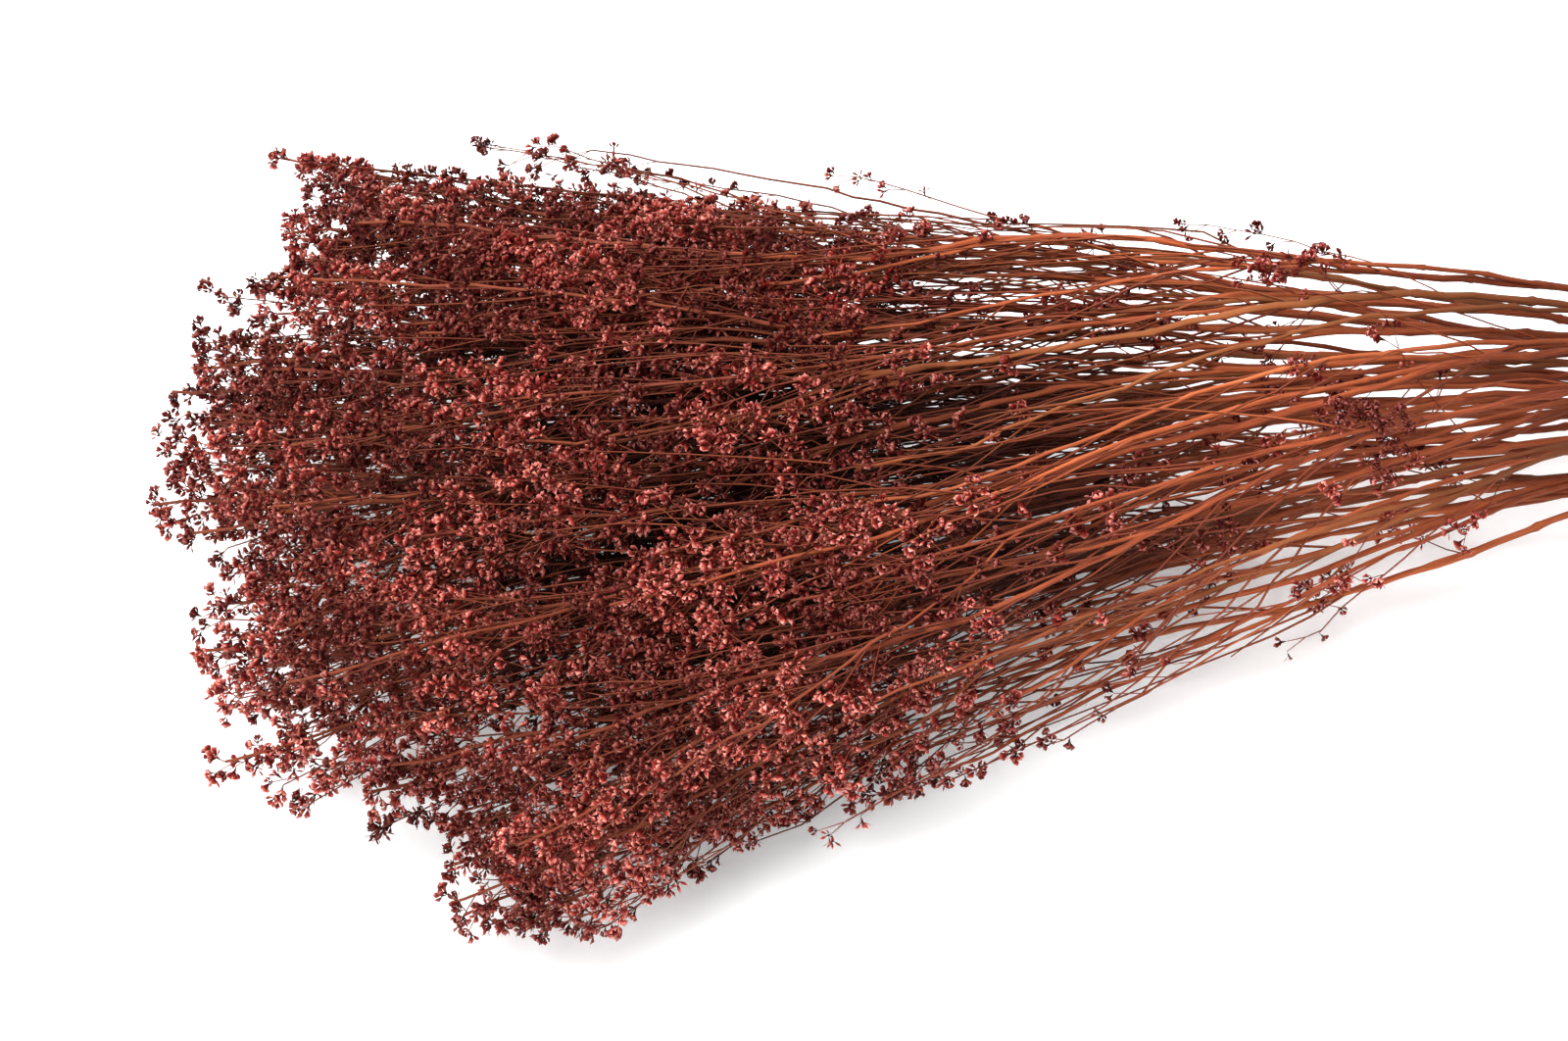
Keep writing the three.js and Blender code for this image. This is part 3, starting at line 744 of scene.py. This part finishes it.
class TwigLines:
    def __init__(self):
        self.points, self.edges = [], []
        labels = ("radius", "along", "tone", "olive", "fine", "inside", "order")
        self.values = {label: [] for label in labels}

    def add(self, points, radii, order, tone, olive=0.0, fine=0.0, inside=0.0):
        base = len(self.points)
        count = len(points)
        self.points.extend(points)
        self.edges.extend((base + i, base + i + 1) for i in range(count - 1))
        given = {"radius": radii, "along": lengthsAlong(points), "tone": tone, "olive": olive, "fine": fine,
                 "inside": inside, "order": order}
        for label, value in given.items():
            self.values[label].extend(np.broadcast_to(value, count))

    def holder(self, name):
        attributes = {}
        for label, values in self.values.items():
            scale = mm if label in ("radius", "along") else 1
            attributes[label] = ("INT", values) if label == "order" else ("FLOAT", np.array(values) * scale)
        return pointObject(name, np.array(self.points) * mm, self.edges, attributes)


def curveThrough(points, firstWay=None):
    points = np.asarray(points)
    lengths = lengthsAlong(points)
    steps = np.diff(lengths)
    slopes = np.diff(points, axis=0) / steps[:, None]
    ways = np.empty_like(points)
    ways[0], ways[-1] = slopes[0], slopes[-1]
    for k in range(1, len(points) - 1):
        share = steps[k - 1] / (steps[k - 1] + steps[k])
        ways[k] = slopes[k - 1] * (1 - share) + slopes[k] * share
    if firstWay is not None:
        ways[0] = 0.65 * firstWay + 0.35 * ways[0]

    def at(distances):
        distances = np.clip(distances, 0, lengths[-1])
        k = np.clip(np.searchsorted(lengths, distances, side="right") - 1, 0, len(steps) - 1)
        h = steps[k][:, None]
        t = ((distances - lengths[k]) / steps[k])[:, None]
        p = (1 + 2 * t) * (1 - t) ** 2 * points[k] + t * (1 - t) ** 2 * h * ways[k]
        return p + t * t * (3 - 2 * t) * points[k + 1] + t * t * (t - 1) * h * ways[k + 1]

    return at, lengths


def sidewaysOf(direction, angle, azimuth):
    other = np.array([0, 0, 1.0]) if abs(direction[2]) < 0.9 else np.array([0, 1.0, 0])
    one = unit(np.cross(other, direction))
    two = np.cross(direction, one)
    sideways = one * math.cos(azimuth) + two * math.sin(azimuth)
    return unit(direction * math.cos(angle) + sideways * math.sin(angle))


def outwardness(points):
    s = shift[0] - points[:, 0]
    wide = np.array([halfWidth(value) for value in s]) + twigs["slack"]
    high = np.array([halfHeight(value) for value in s])
    lean = np.array([slumped(value) for value in s])
    low = np.array([underside(value) for value in s])
    across = (points[:, 1] - shift[1] + lean) / wide
    up = (points[:, 2] - low - high) / (high + twigs["slack"])
    return np.hypot(across, up), -lean + shift[1], low + high


def heldIn(points, lowest):
    out, middleY, middleZ = outwardness(points)
    most = np.maximum(1.0, out[0])
    pull = np.minimum(1.0, most / np.maximum(out, 1e-6))
    points[1:, 1] = (middleY + (points[:, 1] - middleY) * pull)[1:]
    points[1:, 2] = (middleZ + (points[:, 2] - middleZ) * pull)[1:]
    nearest, farthest = (corner[1] / mm for corner in cadBounds)
    points[1:, 1] = np.clip(points[1:, 1], nearest - twigs["proud"], farthest + twigs["proud"])
    points[1:, 2] = np.maximum(points[1:, 2], lowest)
    return points


def clumpAt(point):
    # flowers gather in clumps, and the hollows between them get painted shade
    x, y, z = point / flowering["clumpSize"]
    wave = math.sin(1.9 * x + 1.1 * y) + math.sin(2.3 * y - 0.7 * x + 1.3 * z)
    return smooth(-0.9, 0.9, wave + math.sin(2.1 * z + 1.7 * x - 0.9 * y + 2))


floretValues = {
    "aim": "FLOAT_VECTOR", "roll": "FLOAT", "size": "FLOAT",
    "form": "INT", "tone": "FLOAT", "inside": "FLOAT",
}


class SprayDress:
    def __init__(self, spray):
        self.rng = rng = np.random.default_rng(twigs["firstSeed"] + spray["index"])
        self.points = spray["points"]
        self.end = spray["end"]
        self.lines = TwigLines()
        self.flowers = {label: [] for label in ("points", *floretValues)}
        self.axes = []
        self.ways = {}
        self.tone = rng.uniform(0.25, 0.75)
        self.olive = rng.uniform(0.35, 0.75) if rng.random() < twigs["oliveShare"] else 0.0
        self.bloomTone = flowering["tone"] + flowering["sprayUneven"] * rng.normal()
        # painted light: florets on the near side are paler, as if lit more from the front
        self.bloomTone -= flowering["nearLitPaler"] * min(0, spray["across"])
        self.onTop = spray["index"] + 1 in twigs["topSprays"]
        depth = twigs["topBare"] if self.onTop else flowering["depth"]
        self.flowersFrom = max(flowering["after"], self.end - depth) + rng.uniform(-12, 20)
        self.lastX = shift[0] - self.end - 1

    def addFlower(self, point, aim, tone):
        rng = self.rng
        size = rng.uniform(*flowering["sizes"])
        reach = (bloom["stalk"] + bloom["height"]) * size
        # near the floor it faces up, and at the end of the spray it doesn't reach further
        rise = 0.9 - point[2] / 5
        if aim[2] < rise:
            level = math.sqrt(1 - rise ** 2) / max(1e-6, math.hypot(aim[0], aim[1]))
            aim = np.array([aim[0] * level, aim[1] * level, rise])
        if point[0] + aim[0] * reach < self.lastX:
            aim = unit(np.array([-0.2, aim[1], aim[2] + 0.01]))
        roll = rng.uniform(0, fullTurn)
        shares = list(bloom["share"].values())
        form = rng.choice(len(shares), p=shares) * bloom["variants"] + rng.integers(bloom["variants"])
        tone = min(1.0, max(0.0, tone + rng.normal(0, flowering["floretUneven"])))
        made = {"points": point, "aim": aim, "roll": roll, "size": size, "form": form, "tone": tone}
        for label, value in made.items():
            self.flowers[label].append(value)

    def addStalk(self, point, along, azimuth, length, count=None):
        # a fine stalk that ends in a small cluster of flowers
        rng = self.rng
        way = sidewaysOf(along, math.radians(rng.uniform(*flowering["stalkAngle"])), azimuth)
        points = [point]
        parts = 1 if length < flowering["straightUpTo"] else 2
        for _ in range(parts):
            way = unit(way + flowering["stalkWander"] * rng.normal(size=3) + flowering["stalkFlow"] * along)
            points.append(points[-1] + way * length / parts)
        points = heldIn(np.array(points), flowering["leastHigh"])
        points[1:, 0] = np.maximum(points[1:, 0], self.lastX + flowering["endRoom"])
        radii = np.linspace(*flowering["stalkRadius"], len(points))
        self.lines.add(points, radii, 3, rng.uniform(0.2, 0.7), 0.0, 0.75)
        clusterTone = self.bloomTone + rng.normal(0, flowering["clusterUneven"])
        if count is None:
            count = rng.integers(flowering["onStalk"][0], flowering["onStalk"][1] + 1)
        for k in range(count):
            cone = math.radians(flowering["cone"]) * (0.3 + 0.7 * rng.random())
            aim = sidewaysOf(way, cone, k * goldenAngle + azimuth)
            foot = points[-1] if k < 2 else points[-2] + (points[-1] - points[-2]) * rng.uniform(0.1, 0.9)
            self.addFlower(foot, aim, clusterTone)

    def endShare(self, s):
        return smooth(self.end - flowering["endsFrom"], self.end - flowering["endsTo"], s)

    def flowerAxis(self, points, every):
        # stalks with flowers along the part of an axis that flowers, and one on its end
        rng = self.rng
        lengths = lengthsAlong(points)
        total = lengths[-1]
        at = every * rng.random()
        azimuth = rng.uniform(0, fullTurn)
        while at < total - 1:
            k = stretchAt(lengths, at)
            share = (at - lengths[k]) / (lengths[k + 1] - lengths[k])
            foot = points[k] + (points[k + 1] - points[k]) * share
            out, _, middle = (value[0] for value in outwardness(foot[None]))
            s = shift[0] - foot[0]
            atEnd = self.endShare(s)
            seen = max(flowering["seenLeast"], atEnd, smooth(*flowering["seenFrom"], out))
            seen *= smooth(self.flowersFrom, self.flowersFrom + flowering["onset"], s)
            seen *= 1 - flowering["underLess"] * smooth(0, 0.6, 1 - foot[2] / middle)
            seen *= between(flowering["clumpShares"], clumpAt(foot))
            if rng.random() < max(seen, flowering["seenAtEnd"] * atEnd):
                reach = 0.2 + 0.8 * min(1, (total - at) / 40) * rng.random()
                length = between(flowering["stalkLength"], reach)
                self.addStalk(foot, unit(points[k + 1] - points[k]), azimuth, length)
            azimuth += goldenAngle + 0.5 * rng.normal()
            closer = 1 - 0.35 * smooth(50, 15, total - at) if total > 50 else 0.7
            at += every * closer * rng.uniform(*flowering["everyUneven"])
        out, _, _ = (value[0] for value in outwardness(points[-1:]))
        s = shift[0] - points[-1][0]
        seen = max(0.25, smooth(0.3, 0.75, out), self.endShare(s))
        if s > self.flowersFrom - 10 and rng.random() < seen:
            self.addStalk(points[-1], unit(points[-1] - points[-2]), azimuth, 3)

    def addAxis(self, chain, ids):
        # the stem, or a side branch, which leaves it along its way there
        rng = self.rng
        spine = [self.points[i] for i in ids]
        firstWay = self.ways.get(ids[0]) if chain else None
        at, lengths = curveThrough([point.place for point in spine], firstWay)
        for k, i in enumerate(ids):
            ahead, behind = at(np.array([lengths[k] + 2, lengths[k] - 2]))
            self.ways.setdefault(i, unit(ahead - behind))
        nodes = []
        nodeAt = between(twigs["firstNode"], rng.random())
        while nodeAt < lengths[-1] - 10:
            nodes.append(nodeAt)
            nodeAt += twigs["nodeEvery"] * rng.uniform(*twigs["nodeUneven"])
        stops = list(np.arange(0, lengths[-1], twigs["step"])) + [lengths[-1]]
        stops = np.array(sorted(stops + [node + past for node in nodes for past in (-1.6, 0, 2.2)]))
        stops = stops[np.concatenate([[True], np.diff(stops) > 0.7])]
        if chain == 0:
            stops = np.insert(stops, 1, twigs["cutDepth"])
        line = at(stops)
        s = np.interp(stops, lengths, [point.s for point in spine])
        left = spine[-1].s - s
        sway = np.zeros_like(line)
        for wavelength in twigs["swayLengths"]:
            phase = rng.uniform(0, fullTurn, 2)
            sway[:, 1] += np.sin(stops / wavelength * fullTurn + phase[0]) * 0.5
            sway[:, 2] += np.sin(stops / wavelength * fullTurn + phase[1]) * 0.5
        amount = np.clip((s - 40) / 60, 0, 1) * between(twigs["kinks"], np.clip((120 - left) / 100, 0, 1))
        if chain:
            amount[0] = 0
        line = line + sway * amount[:, None]
        radius = np.interp(stops, lengths, [point.radius for point in spine]) * twigs["stemRadius"]
        if chain:
            root = radius[0] * stems["branchStout"]
            tip = max(twigs["leastBranch"], root * twigs["branchTaper"])
            radius = np.interp(stops, [0, lengths[-1]], [root, tip])
            radius[0] *= twigs["rootSwell"]
        else:
            radius *= 1 - twigs["thinAtEnd"] * np.clip((150 - left) / 150, 0, 1)
        if self.onTop:
            radius *= 1 + twigs["topStout"] * np.clip((s - 60) / 120, 0, 1)
        radius *= 1 + twigs["radiusUneven"] * rng.normal(size=len(radius)).clip(-1.5, 1.5)
        for node in nodes:
            radius *= 1 + twigs["nodeSwell"] * np.exp(-((stops - node) / 1.5) ** 2)
        line[:, 2] = np.maximum(line[:, 2], radius)
        tone = np.clip(self.tone + rng.normal(0, 0.1), 0, 1)
        redder = 0.8 * np.clip((s - self.flowersFrom + 60) / 150, 0, 1)
        olive = self.olive * (1 - redder)
        self.lines.add(line, radius, min(chain, 1), tone, olive, redder, barkShadeOf(line, self.end))
        self.flowerAxis(line, flowering["every"])
        self.axes.append((line, stops, s, radius))

    def addSecondTwigs(self, line, stops, s, radius):
        # finer side twigs, which bend to run beside their axis
        rng = self.rng
        at = np.interp(max(twigs["secondFrom"], s[0] + 25), s, stops) + rng.uniform(0, twigs["secondEvery"])
        azimuth = rng.uniform(0, fullTurn)
        while at < stops[-1] - 22:
            k = stretchAt(stops, at)
            left = stops[-1] - at
            length = min(between(twigs["secondLength"], rng.random()), left + rng.uniform(-14, -2))
            angle = math.radians(rng.uniform(*twigs["secondAngle"]))
            way = sidewaysOf(unit(line[k + 1] - line[k]), angle, azimuth)
            points = [line[k]]
            count = max(3, int(length / twigs["secondStep"]))
            for part in range(count):
                j = stretchAt(stops, at + length * (part + 0.5) / count)
                flow = unit(line[j + 1] - line[j])
                way = unit(way + 0.2 * (flow - way) + twigs["secondWander"] * rng.normal(size=3))
                points.append(points[-1] + way * length / count)
            points = heldIn(np.array(points), 0.6)
            thick = min(twigs["secondRadius"][0], radius[k] * 0.7)
            radii = np.linspace(thick, twigs["secondRadius"][1], len(points))
            amongFlowers = np.clip((shift[0] - points[:, 0] - self.flowersFrom + 60) / 100, 0, 1)
            dusky = between((rng.uniform(0.1, 0.5), 0.85), amongFlowers)
            dark = barkShadeOf(points, self.end)
            self.lines.add(points, radii, 2, rng.uniform(0.2, 0.8), self.olive * 0.8, dusky, dark)
            self.flowerAxis(points, flowering["every"] * twigs["secondFlowers"])
            azimuth += goldenAngle + 0.4 * rng.normal()
            bare = s[k] < self.flowersFrom - 90
            at += (twigs["bareEvery"] if bare else twigs["secondEvery"]) * rng.uniform(0.7, 1.4)

    def addSprigs(self):
        # stray sprigs on the part of a spray that is bare otherwise
        rng = self.rng
        for _ in range(rng.integers(2, 5)):
            line, _, s, _ = self.axes[rng.integers(0, 3)]
            if s[0] > twigs["sprigsTo"]:
                continue
            k = int(np.searchsorted(s, rng.uniform(max(twigs["sprigsFrom"], s[0]), twigs["sprigsTo"])))
            k = min(k, len(line) - 2)
            angle = math.radians(rng.uniform(*twigs["sprigAngle"]))
            way = sidewaysOf(unit(line[k + 1] - line[k]), angle, rng.uniform(0, fullTurn))
            length = between(twigs["sprigLength"], rng.random())
            points = [line[k]]
            for _ in range(4):
                way = unit(way + 0.2 * rng.normal(size=3))
                points.append(points[-1] + way * length / 4)
            points = heldIn(np.array(points), flowering["leastHigh"])
            radii = np.linspace(*twigs["sprigRadius"], len(points))
            self.lines.add(points, radii, 3, rng.uniform(0.3, 0.6), 0.0, 0.9)
            for k in twigs["sprigStops"][: rng.integers(3, 7)]:
                self.addStalk(points[k], way, rng.uniform(0, fullTurn), rng.uniform(3, 7), rng.integers(2, 5))

    def addLooseTwig(self, through, radii, flowersShare):
        # a twig that stands out of the bunch, from the place on the spray that is nearest to its start
        rng = self.rng
        feet = np.concatenate([axis[0] for axis in self.axes])
        foot = feet[np.argmin(np.linalg.norm(feet - through[0], axis=1))]
        at, lengths = curveThrough([foot, *through[1:]])
        line = at(np.append(np.arange(0, lengths[-1] - 4, 8), lengths[-1]))
        line[1:] += rng.normal(0, 0.35, (len(line) - 1, 3))
        line[:, 2] = np.maximum(line[:, 2], 0.6)
        redder = np.linspace(0.15, 0.8, len(line))
        self.lines.add(line, np.linspace(*radii, len(line)), 2, rng.uniform(0.1, 0.5), 0.0, redder)
        if flowersShare == 0:
            return
        last = len(line) - 1
        for k in range(int(last * (1 - flowersShare)), last + 1):
            way = unit(line[k] - line[k - 1])
            for _ in range(1 if k < last else 2):
                self.addStalk(line[k], way, rng.uniform(0, fullTurn), rng.uniform(3, 9), rng.integers(1, 4))


def dressSpray(spray):
    dress = SprayDress(spray)
    for chain, ids in enumerate(spray["chains"]):
        dress.addAxis(chain, ids)
    for axis in dress.axes:
        dress.addSecondTwigs(*axis)
    if spray["across"] < twigs["sprigsAcross"] or spray["up"] > twigs["sprigsUp"]:
        dress.addSprigs()
    for loose in spray["loose"]:
        dress.addLooseTwig(*loose)
    points = np.array(dress.flowers["points"])
    # painted shade in the hollows between clumps, over the painted shade deep in the bunch
    hollow = np.array([1 - clumpAt(point) for point in points])
    dress.flowers["inside"] = np.maximum(insideOf(points, dress.end), flowering["hollowShade"] * hollow)
    return dress.lines, dress.flowers


def insideOf(points, end):
    # painted shade: how deep in the bunch or under it a point lies, where bark and flowers are darkened to
    # stand in for the shade there
    out, _, middle = outwardness(points)
    deep = 1 - np.clip((out - 0.5) / 0.42, 0, 1)
    under = np.clip((middle - points[:, 2]) / np.maximum(middle, 1) * 1.6 - 0.25, 0, 1)
    s = shift[0] - points[:, 0]
    hidden = np.maximum(deep, 0.8 * under)
    return hidden * np.clip((s - 150) / 120, 0, 1) * np.clip((end - 8 - s) / 70, 0.1, 1)


def barkShadeOf(points, end):
    # painted shade: the bark is also darkened near the tie, where the stems crowd together and shade each
    # other
    s = shift[0] - points[:, 0]
    low, high = twigs["tieEndWithin"]
    return insideOf(points, end) + twigs["tieEndShade"] * np.clip((high - s) / (high - low), 0, 1)


# Loose twigs: the places they pass, each as distance from the tie, share across and share up,
# then the radius at either end, and the share of the length that flowers
looseTwigs = [
    ([(218, 0.68, 0.45), (280, 0.97, 0.5), (320, 1.02, 0.56), (362, 1.03, 0.58)], (0.6, 0.28), 0.1),
    ([(226, 0.6, 0.6), (268, 0.86, 0.68), (292, 0.95, 0.74)], (0.36, 0.2), 0.3),
    ([(290, 0.7, 0.5), (340, 0.95, 0.58), (390, 0.98, 0.6)], (0.45, 0.2), 0.4),
    ([(300, 0.6, 0.6), (340, 0.82, 0.74), (372, 0.9, 0.8)], (0.42, 0.2), 0.5),
    ([(300, 0.75, 0.4), (346, 0.98, 0.46), (384, 1.06, 0.46)], (0.4, 0.18), 0.5),
    ([(280, 0.5, 0.7), (330, 0.74, 0.84), (374, 0.8, 0.9)], (0.42, 0.2), 0.4),
    ([(270, 0.74, 0.44), (310, 0.96, 0.5), (350, 0.98, 0.54)], (0.4, 0.2), 0.5),
    ([(126, -0.05, 0.85), (189, -0.62, 0.72), (230, -0.86, 0.45), (262, -1.02, 0.1)], (0.62, 0.34), 0.0),
    ([(190, -0.75, 0.1), (240, -1.02, -0.1), (282, -1.05, -0.22)], (0.45, 0.22), 0.35),
    ([(255, -0.8, 0.1), (300, -1.02, 0.0), (342, -1.04, -0.1)], (0.45, 0.22), 0.4),
    ([(150, -0.8, 0.2), (185, -1.05, 0.1), (215, -1.15, -0.1)], (0.36, 0.18), 0.4),
    ([(130, 0.3, 0.8), (170, 0.6, 0.85), (205, 0.68, 0.9)], (0.3, 0.16), 0.3),
    ([(128, -0.5, 0.6), (165, -0.8, 0.65), (200, -0.86, 0.7)], (0.32, 0.16), 0.4),
]
crossing = {
    "count": 11, "from": (115, 190), "length": (60, 110), "round": (0.15, 1.1), "turn": 0.45,
    "radius": (0.34, 0.2), "seed": 77,
}


def placeOn(s, across, up):
    y = shift[1] - slumped(s) + halfWidth(s) * across
    return np.array([shift[0] - s, y, underside(s) + halfHeight(s) * (1 + up)])


crossRng = np.random.default_rng(crossing["seed"])
for _ in range(crossing["count"]):
    s = crossRng.uniform(*crossing["from"])
    angle = crossRng.uniform(*crossing["round"]) * math.pi
    turn = crossRng.choice((-1, 1)) * crossing["turn"]
    length = crossRng.uniform(*crossing["length"])
    way = [(s + length * t, math.cos(angle + turn * t), math.sin(angle + turn * t)) for t in (0, 0.5, 1)]
    looseTwigs.append((way, crossing["radius"], 0.0))
for way, radii, flowersShare in looseTwigs:
    line = [placeOn(*place) for place in way]
    gaps = [min(np.linalg.norm(point.place - line[0]) for point in spray["points"]) for spray in sprays]
    sprays[gaps.index(min(gaps))]["loose"].append((line, radii, flowersShare))

twigTree = makeTwigTree()
bloomTree = makeBloomTree()
totals = {"stem": 0, "bloom": 0, "florets": 0}  # triangles of either kind of piece, and how many florets
for spray in sprays:
    number = f"{spray['index'] + 1:02d}"
    lines, flowers = dressSpray(spray)
    twigInputs = sides | {"Material": bark}
    twigPiece = evaluateTree(lines.holder("twigLines"), twigTree, twigInputs, f"sprayTwigs_{number}")
    attributes = {label: (kind, flowers[label]) for label, kind in floretValues.items()}
    holder = pointObject("flowerPoints", np.array(flowers["points"]) * mm, [], attributes)
    bloomInputs = {"Forms": forms, "Material": petalPaper}
    bloomPiece = evaluateTree(holder, bloomTree, bloomInputs, f"sprayBlooms_{number}")
    totals["florets"] += len(flowers["points"])
    for piece, slot in ((twigPiece, "stem"), (bloomPiece, "bloom")):
        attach(piece, "root")
        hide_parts(f"spray_{number}")
        totals[slot] += sum(len(polygon.vertices) - 2 for polygon in piece.data.polygons)
print("sprays dressed:", totals)
for form in list(forms.objects):
    bpy.data.objects.remove(form)
bpy.data.collections.remove(forms)

# Tie
twineLook = {
    "strands": 3, "pitch": 5.5, "strandRadius": 0.52, "strandUneven": 0.06, "step": 1.1, "seed": 55,
    "hairs": 420, "hairLength": (1.5, 4.0), "hairRadius": 0.045,
    "pale": (0.55, 0.40, 0.24), "tan": (0.36, 0.23, 0.12), "shadow": (0.13, 0.075, 0.035),
    "surface": {"Roughness": 0.88, "Specular IOR Level": 0.2, "Sheen Weight": 0.25},
    "fibres": 3.0, "perMetre": 350, "toneShare": 0.4, "relief": (0.7, 0.0003),
}


def makeTwine():
    look = twineLook
    material, tree, shader = newMaterial("drawnTwine", look["surface"])
    place = tubePlace(tree, shaderMath(tree, "MULTIPLY", shaderAttribute(tree, "along"), look["perMetre"]))
    fibres = shaderNoise(tree, place, look["fibres"], 5, 0.65)
    tone = shaderAttribute(tree, "tone")
    change = shaderMath(tree, "MULTIPLY_ADD", tone, look["toneShare"], -look["toneShare"] / 2)
    shade = shaderMath(tree, "ADD", fibres, change)
    colour = shaderRamp(tree, shade, [(0.25, look["shadow"]), (0.5, look["tan"]), (0.78, look["pale"])])
    tree.links.new(colour, shader.inputs["Base Color"])
    shaderBump(tree, shader, fibres, *look["relief"])
    return material


def makeTie():
    look = twineLook
    rng = np.random.default_rng(look["seed"])
    lines = TwigLines()
    ringRadius = tie["bore"] + tie["twine"] / 2
    centre = np.array([shift[0], shift[1], tieRadius - tie["pressed"]])
    total = tie["turns"] * fullTurn * ringRadius
    stops = np.linspace(0, total, int(total / look["step"]))
    angle = stops / ringRadius + 0.6
    offset = (stops / total - 0.5) * (tie["turns"] - 1) * tie["twine"]
    radial = np.stack([np.zeros_like(angle), np.cos(angle), np.sin(angle)], 1)
    axial = np.array([1.0, 0, 0])
    tube = (tie["twine"] / 2 - look["strandRadius"])
    for strand in range(look["strands"]):
        turn = stops / look["pitch"] * fullTurn + strand * fullTurn / look["strands"]
        line = centre + radial * (ringRadius + tube * np.cos(turn))[:, None]
        line = line + axial * (offset + tube * np.sin(turn))[:, None]
        uneven = rng.normal(size=len(stops)).clip(-1.5, 1.5)
        radius = look["strandRadius"] * (1 + look["strandUneven"] * uneven)
        radius[0] = radius[-1] = look["strandRadius"] * 0.7
        line[:, 2] = np.maximum(line[:, 2], radius)
        lines.add(line, radius, 1, 0.3 + 0.2 * strand)
    for _ in range(look["hairs"]):
        k = rng.integers(4, len(stops) - 8)
        foot = centre + radial[k] * (ringRadius + tube * 0.9) + axial * (offset[k] + rng.uniform(-0.8, 0.8))
        tangent = unit(radial[k + 1] - radial[k])
        way = tangent * rng.choice((-1, 1)) + radial[k] * rng.uniform(0.05, 0.6)
        way = unit(way + axial * rng.normal(0, 0.5))
        points = [foot]
        for _ in range(3):
            points.append(points[-1] + way * rng.uniform(*look["hairLength"]) / 3)
            way = unit(way + 0.35 * rng.normal(size=3))
        points = np.array(points)
        points[:, 2] = np.maximum(points[:, 2], 0.1)
        radii = np.linspace(look["hairRadius"], look["hairRadius"] * 0.5, 4)
        lines.add(points, radii, 3, rng.uniform(0.4, 1.0))
    inputs = sides | {"Material": makeTwine()}
    return evaluateTree(lines.holder("twineLines"), twigTree, inputs, "woundTwine")


twine = makeTie()
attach(twine, "root")
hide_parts("tie")
print("tie wound:", len(twine.data.polygons), "faces")

# Floor, light and camera
scene = bpy.context.scene
studio = {
    "sky": (0.97, 0.985, 1.0), "skyStrength": 0.44, "floorReach": 4,
    "floor": {
        "Base Color": (0.9, 0.9, 0.9, 1), "Roughness": 0.9, "Specular IOR Level": 0.1,
        "Emission Color": (1, 1, 1, 1), "Emission Strength": 0.22,
    },
    # each light's place, size and power, and the place that they all face
    "lit": (-0.1, 0, 0.03),
    "lights": {
        "keyLight": ((-0.35, -0.4, 1.35), 1.0, 31),
        "fillLight": ((-0.9, -0.9, 0.9), 1.2, 16),
        "backLight": ((0.1, 1.1, 0.8), 1.0, 11),
    },
}
reach = studio["floorReach"]
corners = [(-reach, -reach, 0), (reach, -reach, 0), (reach, reach, 0), (-reach, reach, 0)]
floorMesh = bpy.data.meshes.new("paleFloor")
floorMesh.from_pydata(corners, [], [(0, 1, 2, 3)])
floorMesh.materials.append(newMaterial("paleFloor", studio["floor"])[0])
floor = bpy.data.objects.new("paleFloor", floorMesh)
scene.collection.objects.link(floor)

world = bpy.data.worlds.new("softRoom")
world.use_nodes = True
background = world.node_tree.nodes["Background"]
background.inputs["Color"].default_value = (*studio["sky"], 1)
background.inputs["Strength"].default_value = studio["skyStrength"]
scene.world = world

for name, (place, size, power) in studio["lights"].items():
    light = bpy.data.lights.new(name, "AREA")
    light.shape = "DISK"
    light.size = size
    light.energy = power
    lamp = bpy.data.objects.new(name, light)
    way = Vector(studio["lit"]) - Vector(place)
    lamp.rotation_euler = way.to_track_quat("-Z", "Y").to_euler()
    lamp.location = place
    scene.collection.objects.link(lamp)

view = {
    "azimuth": -12, "elevation": 42, "distance": 0.85, "lens": 74.6, "sensor": 36,
    "target": (-0.333, -0.015, 0.040),  # from the tie
}
camera = bpy.data.objects.new("camera", bpy.data.cameras.new("camera"))
camera.data.lens = view["lens"]
camera.data.sensor_width = view["sensor"]
az, el = math.radians(view["azimuth"]), math.radians(view["elevation"])
back = np.array([math.sin(az) * math.cos(el), -math.cos(az) * math.cos(el), math.sin(el)])
target = np.array([shift[0] * mm, shift[1] * mm, 0]) + np.array(view["target"])
camera.location = target + back * view["distance"]
camera.rotation_euler = Vector(-back).to_track_quat("-Z", "Y").to_euler()
scene.collection.objects.link(camera)
scene.camera = camera
scene.view_settings.view_transform = "Standard"
scene.view_settings.look = "None"
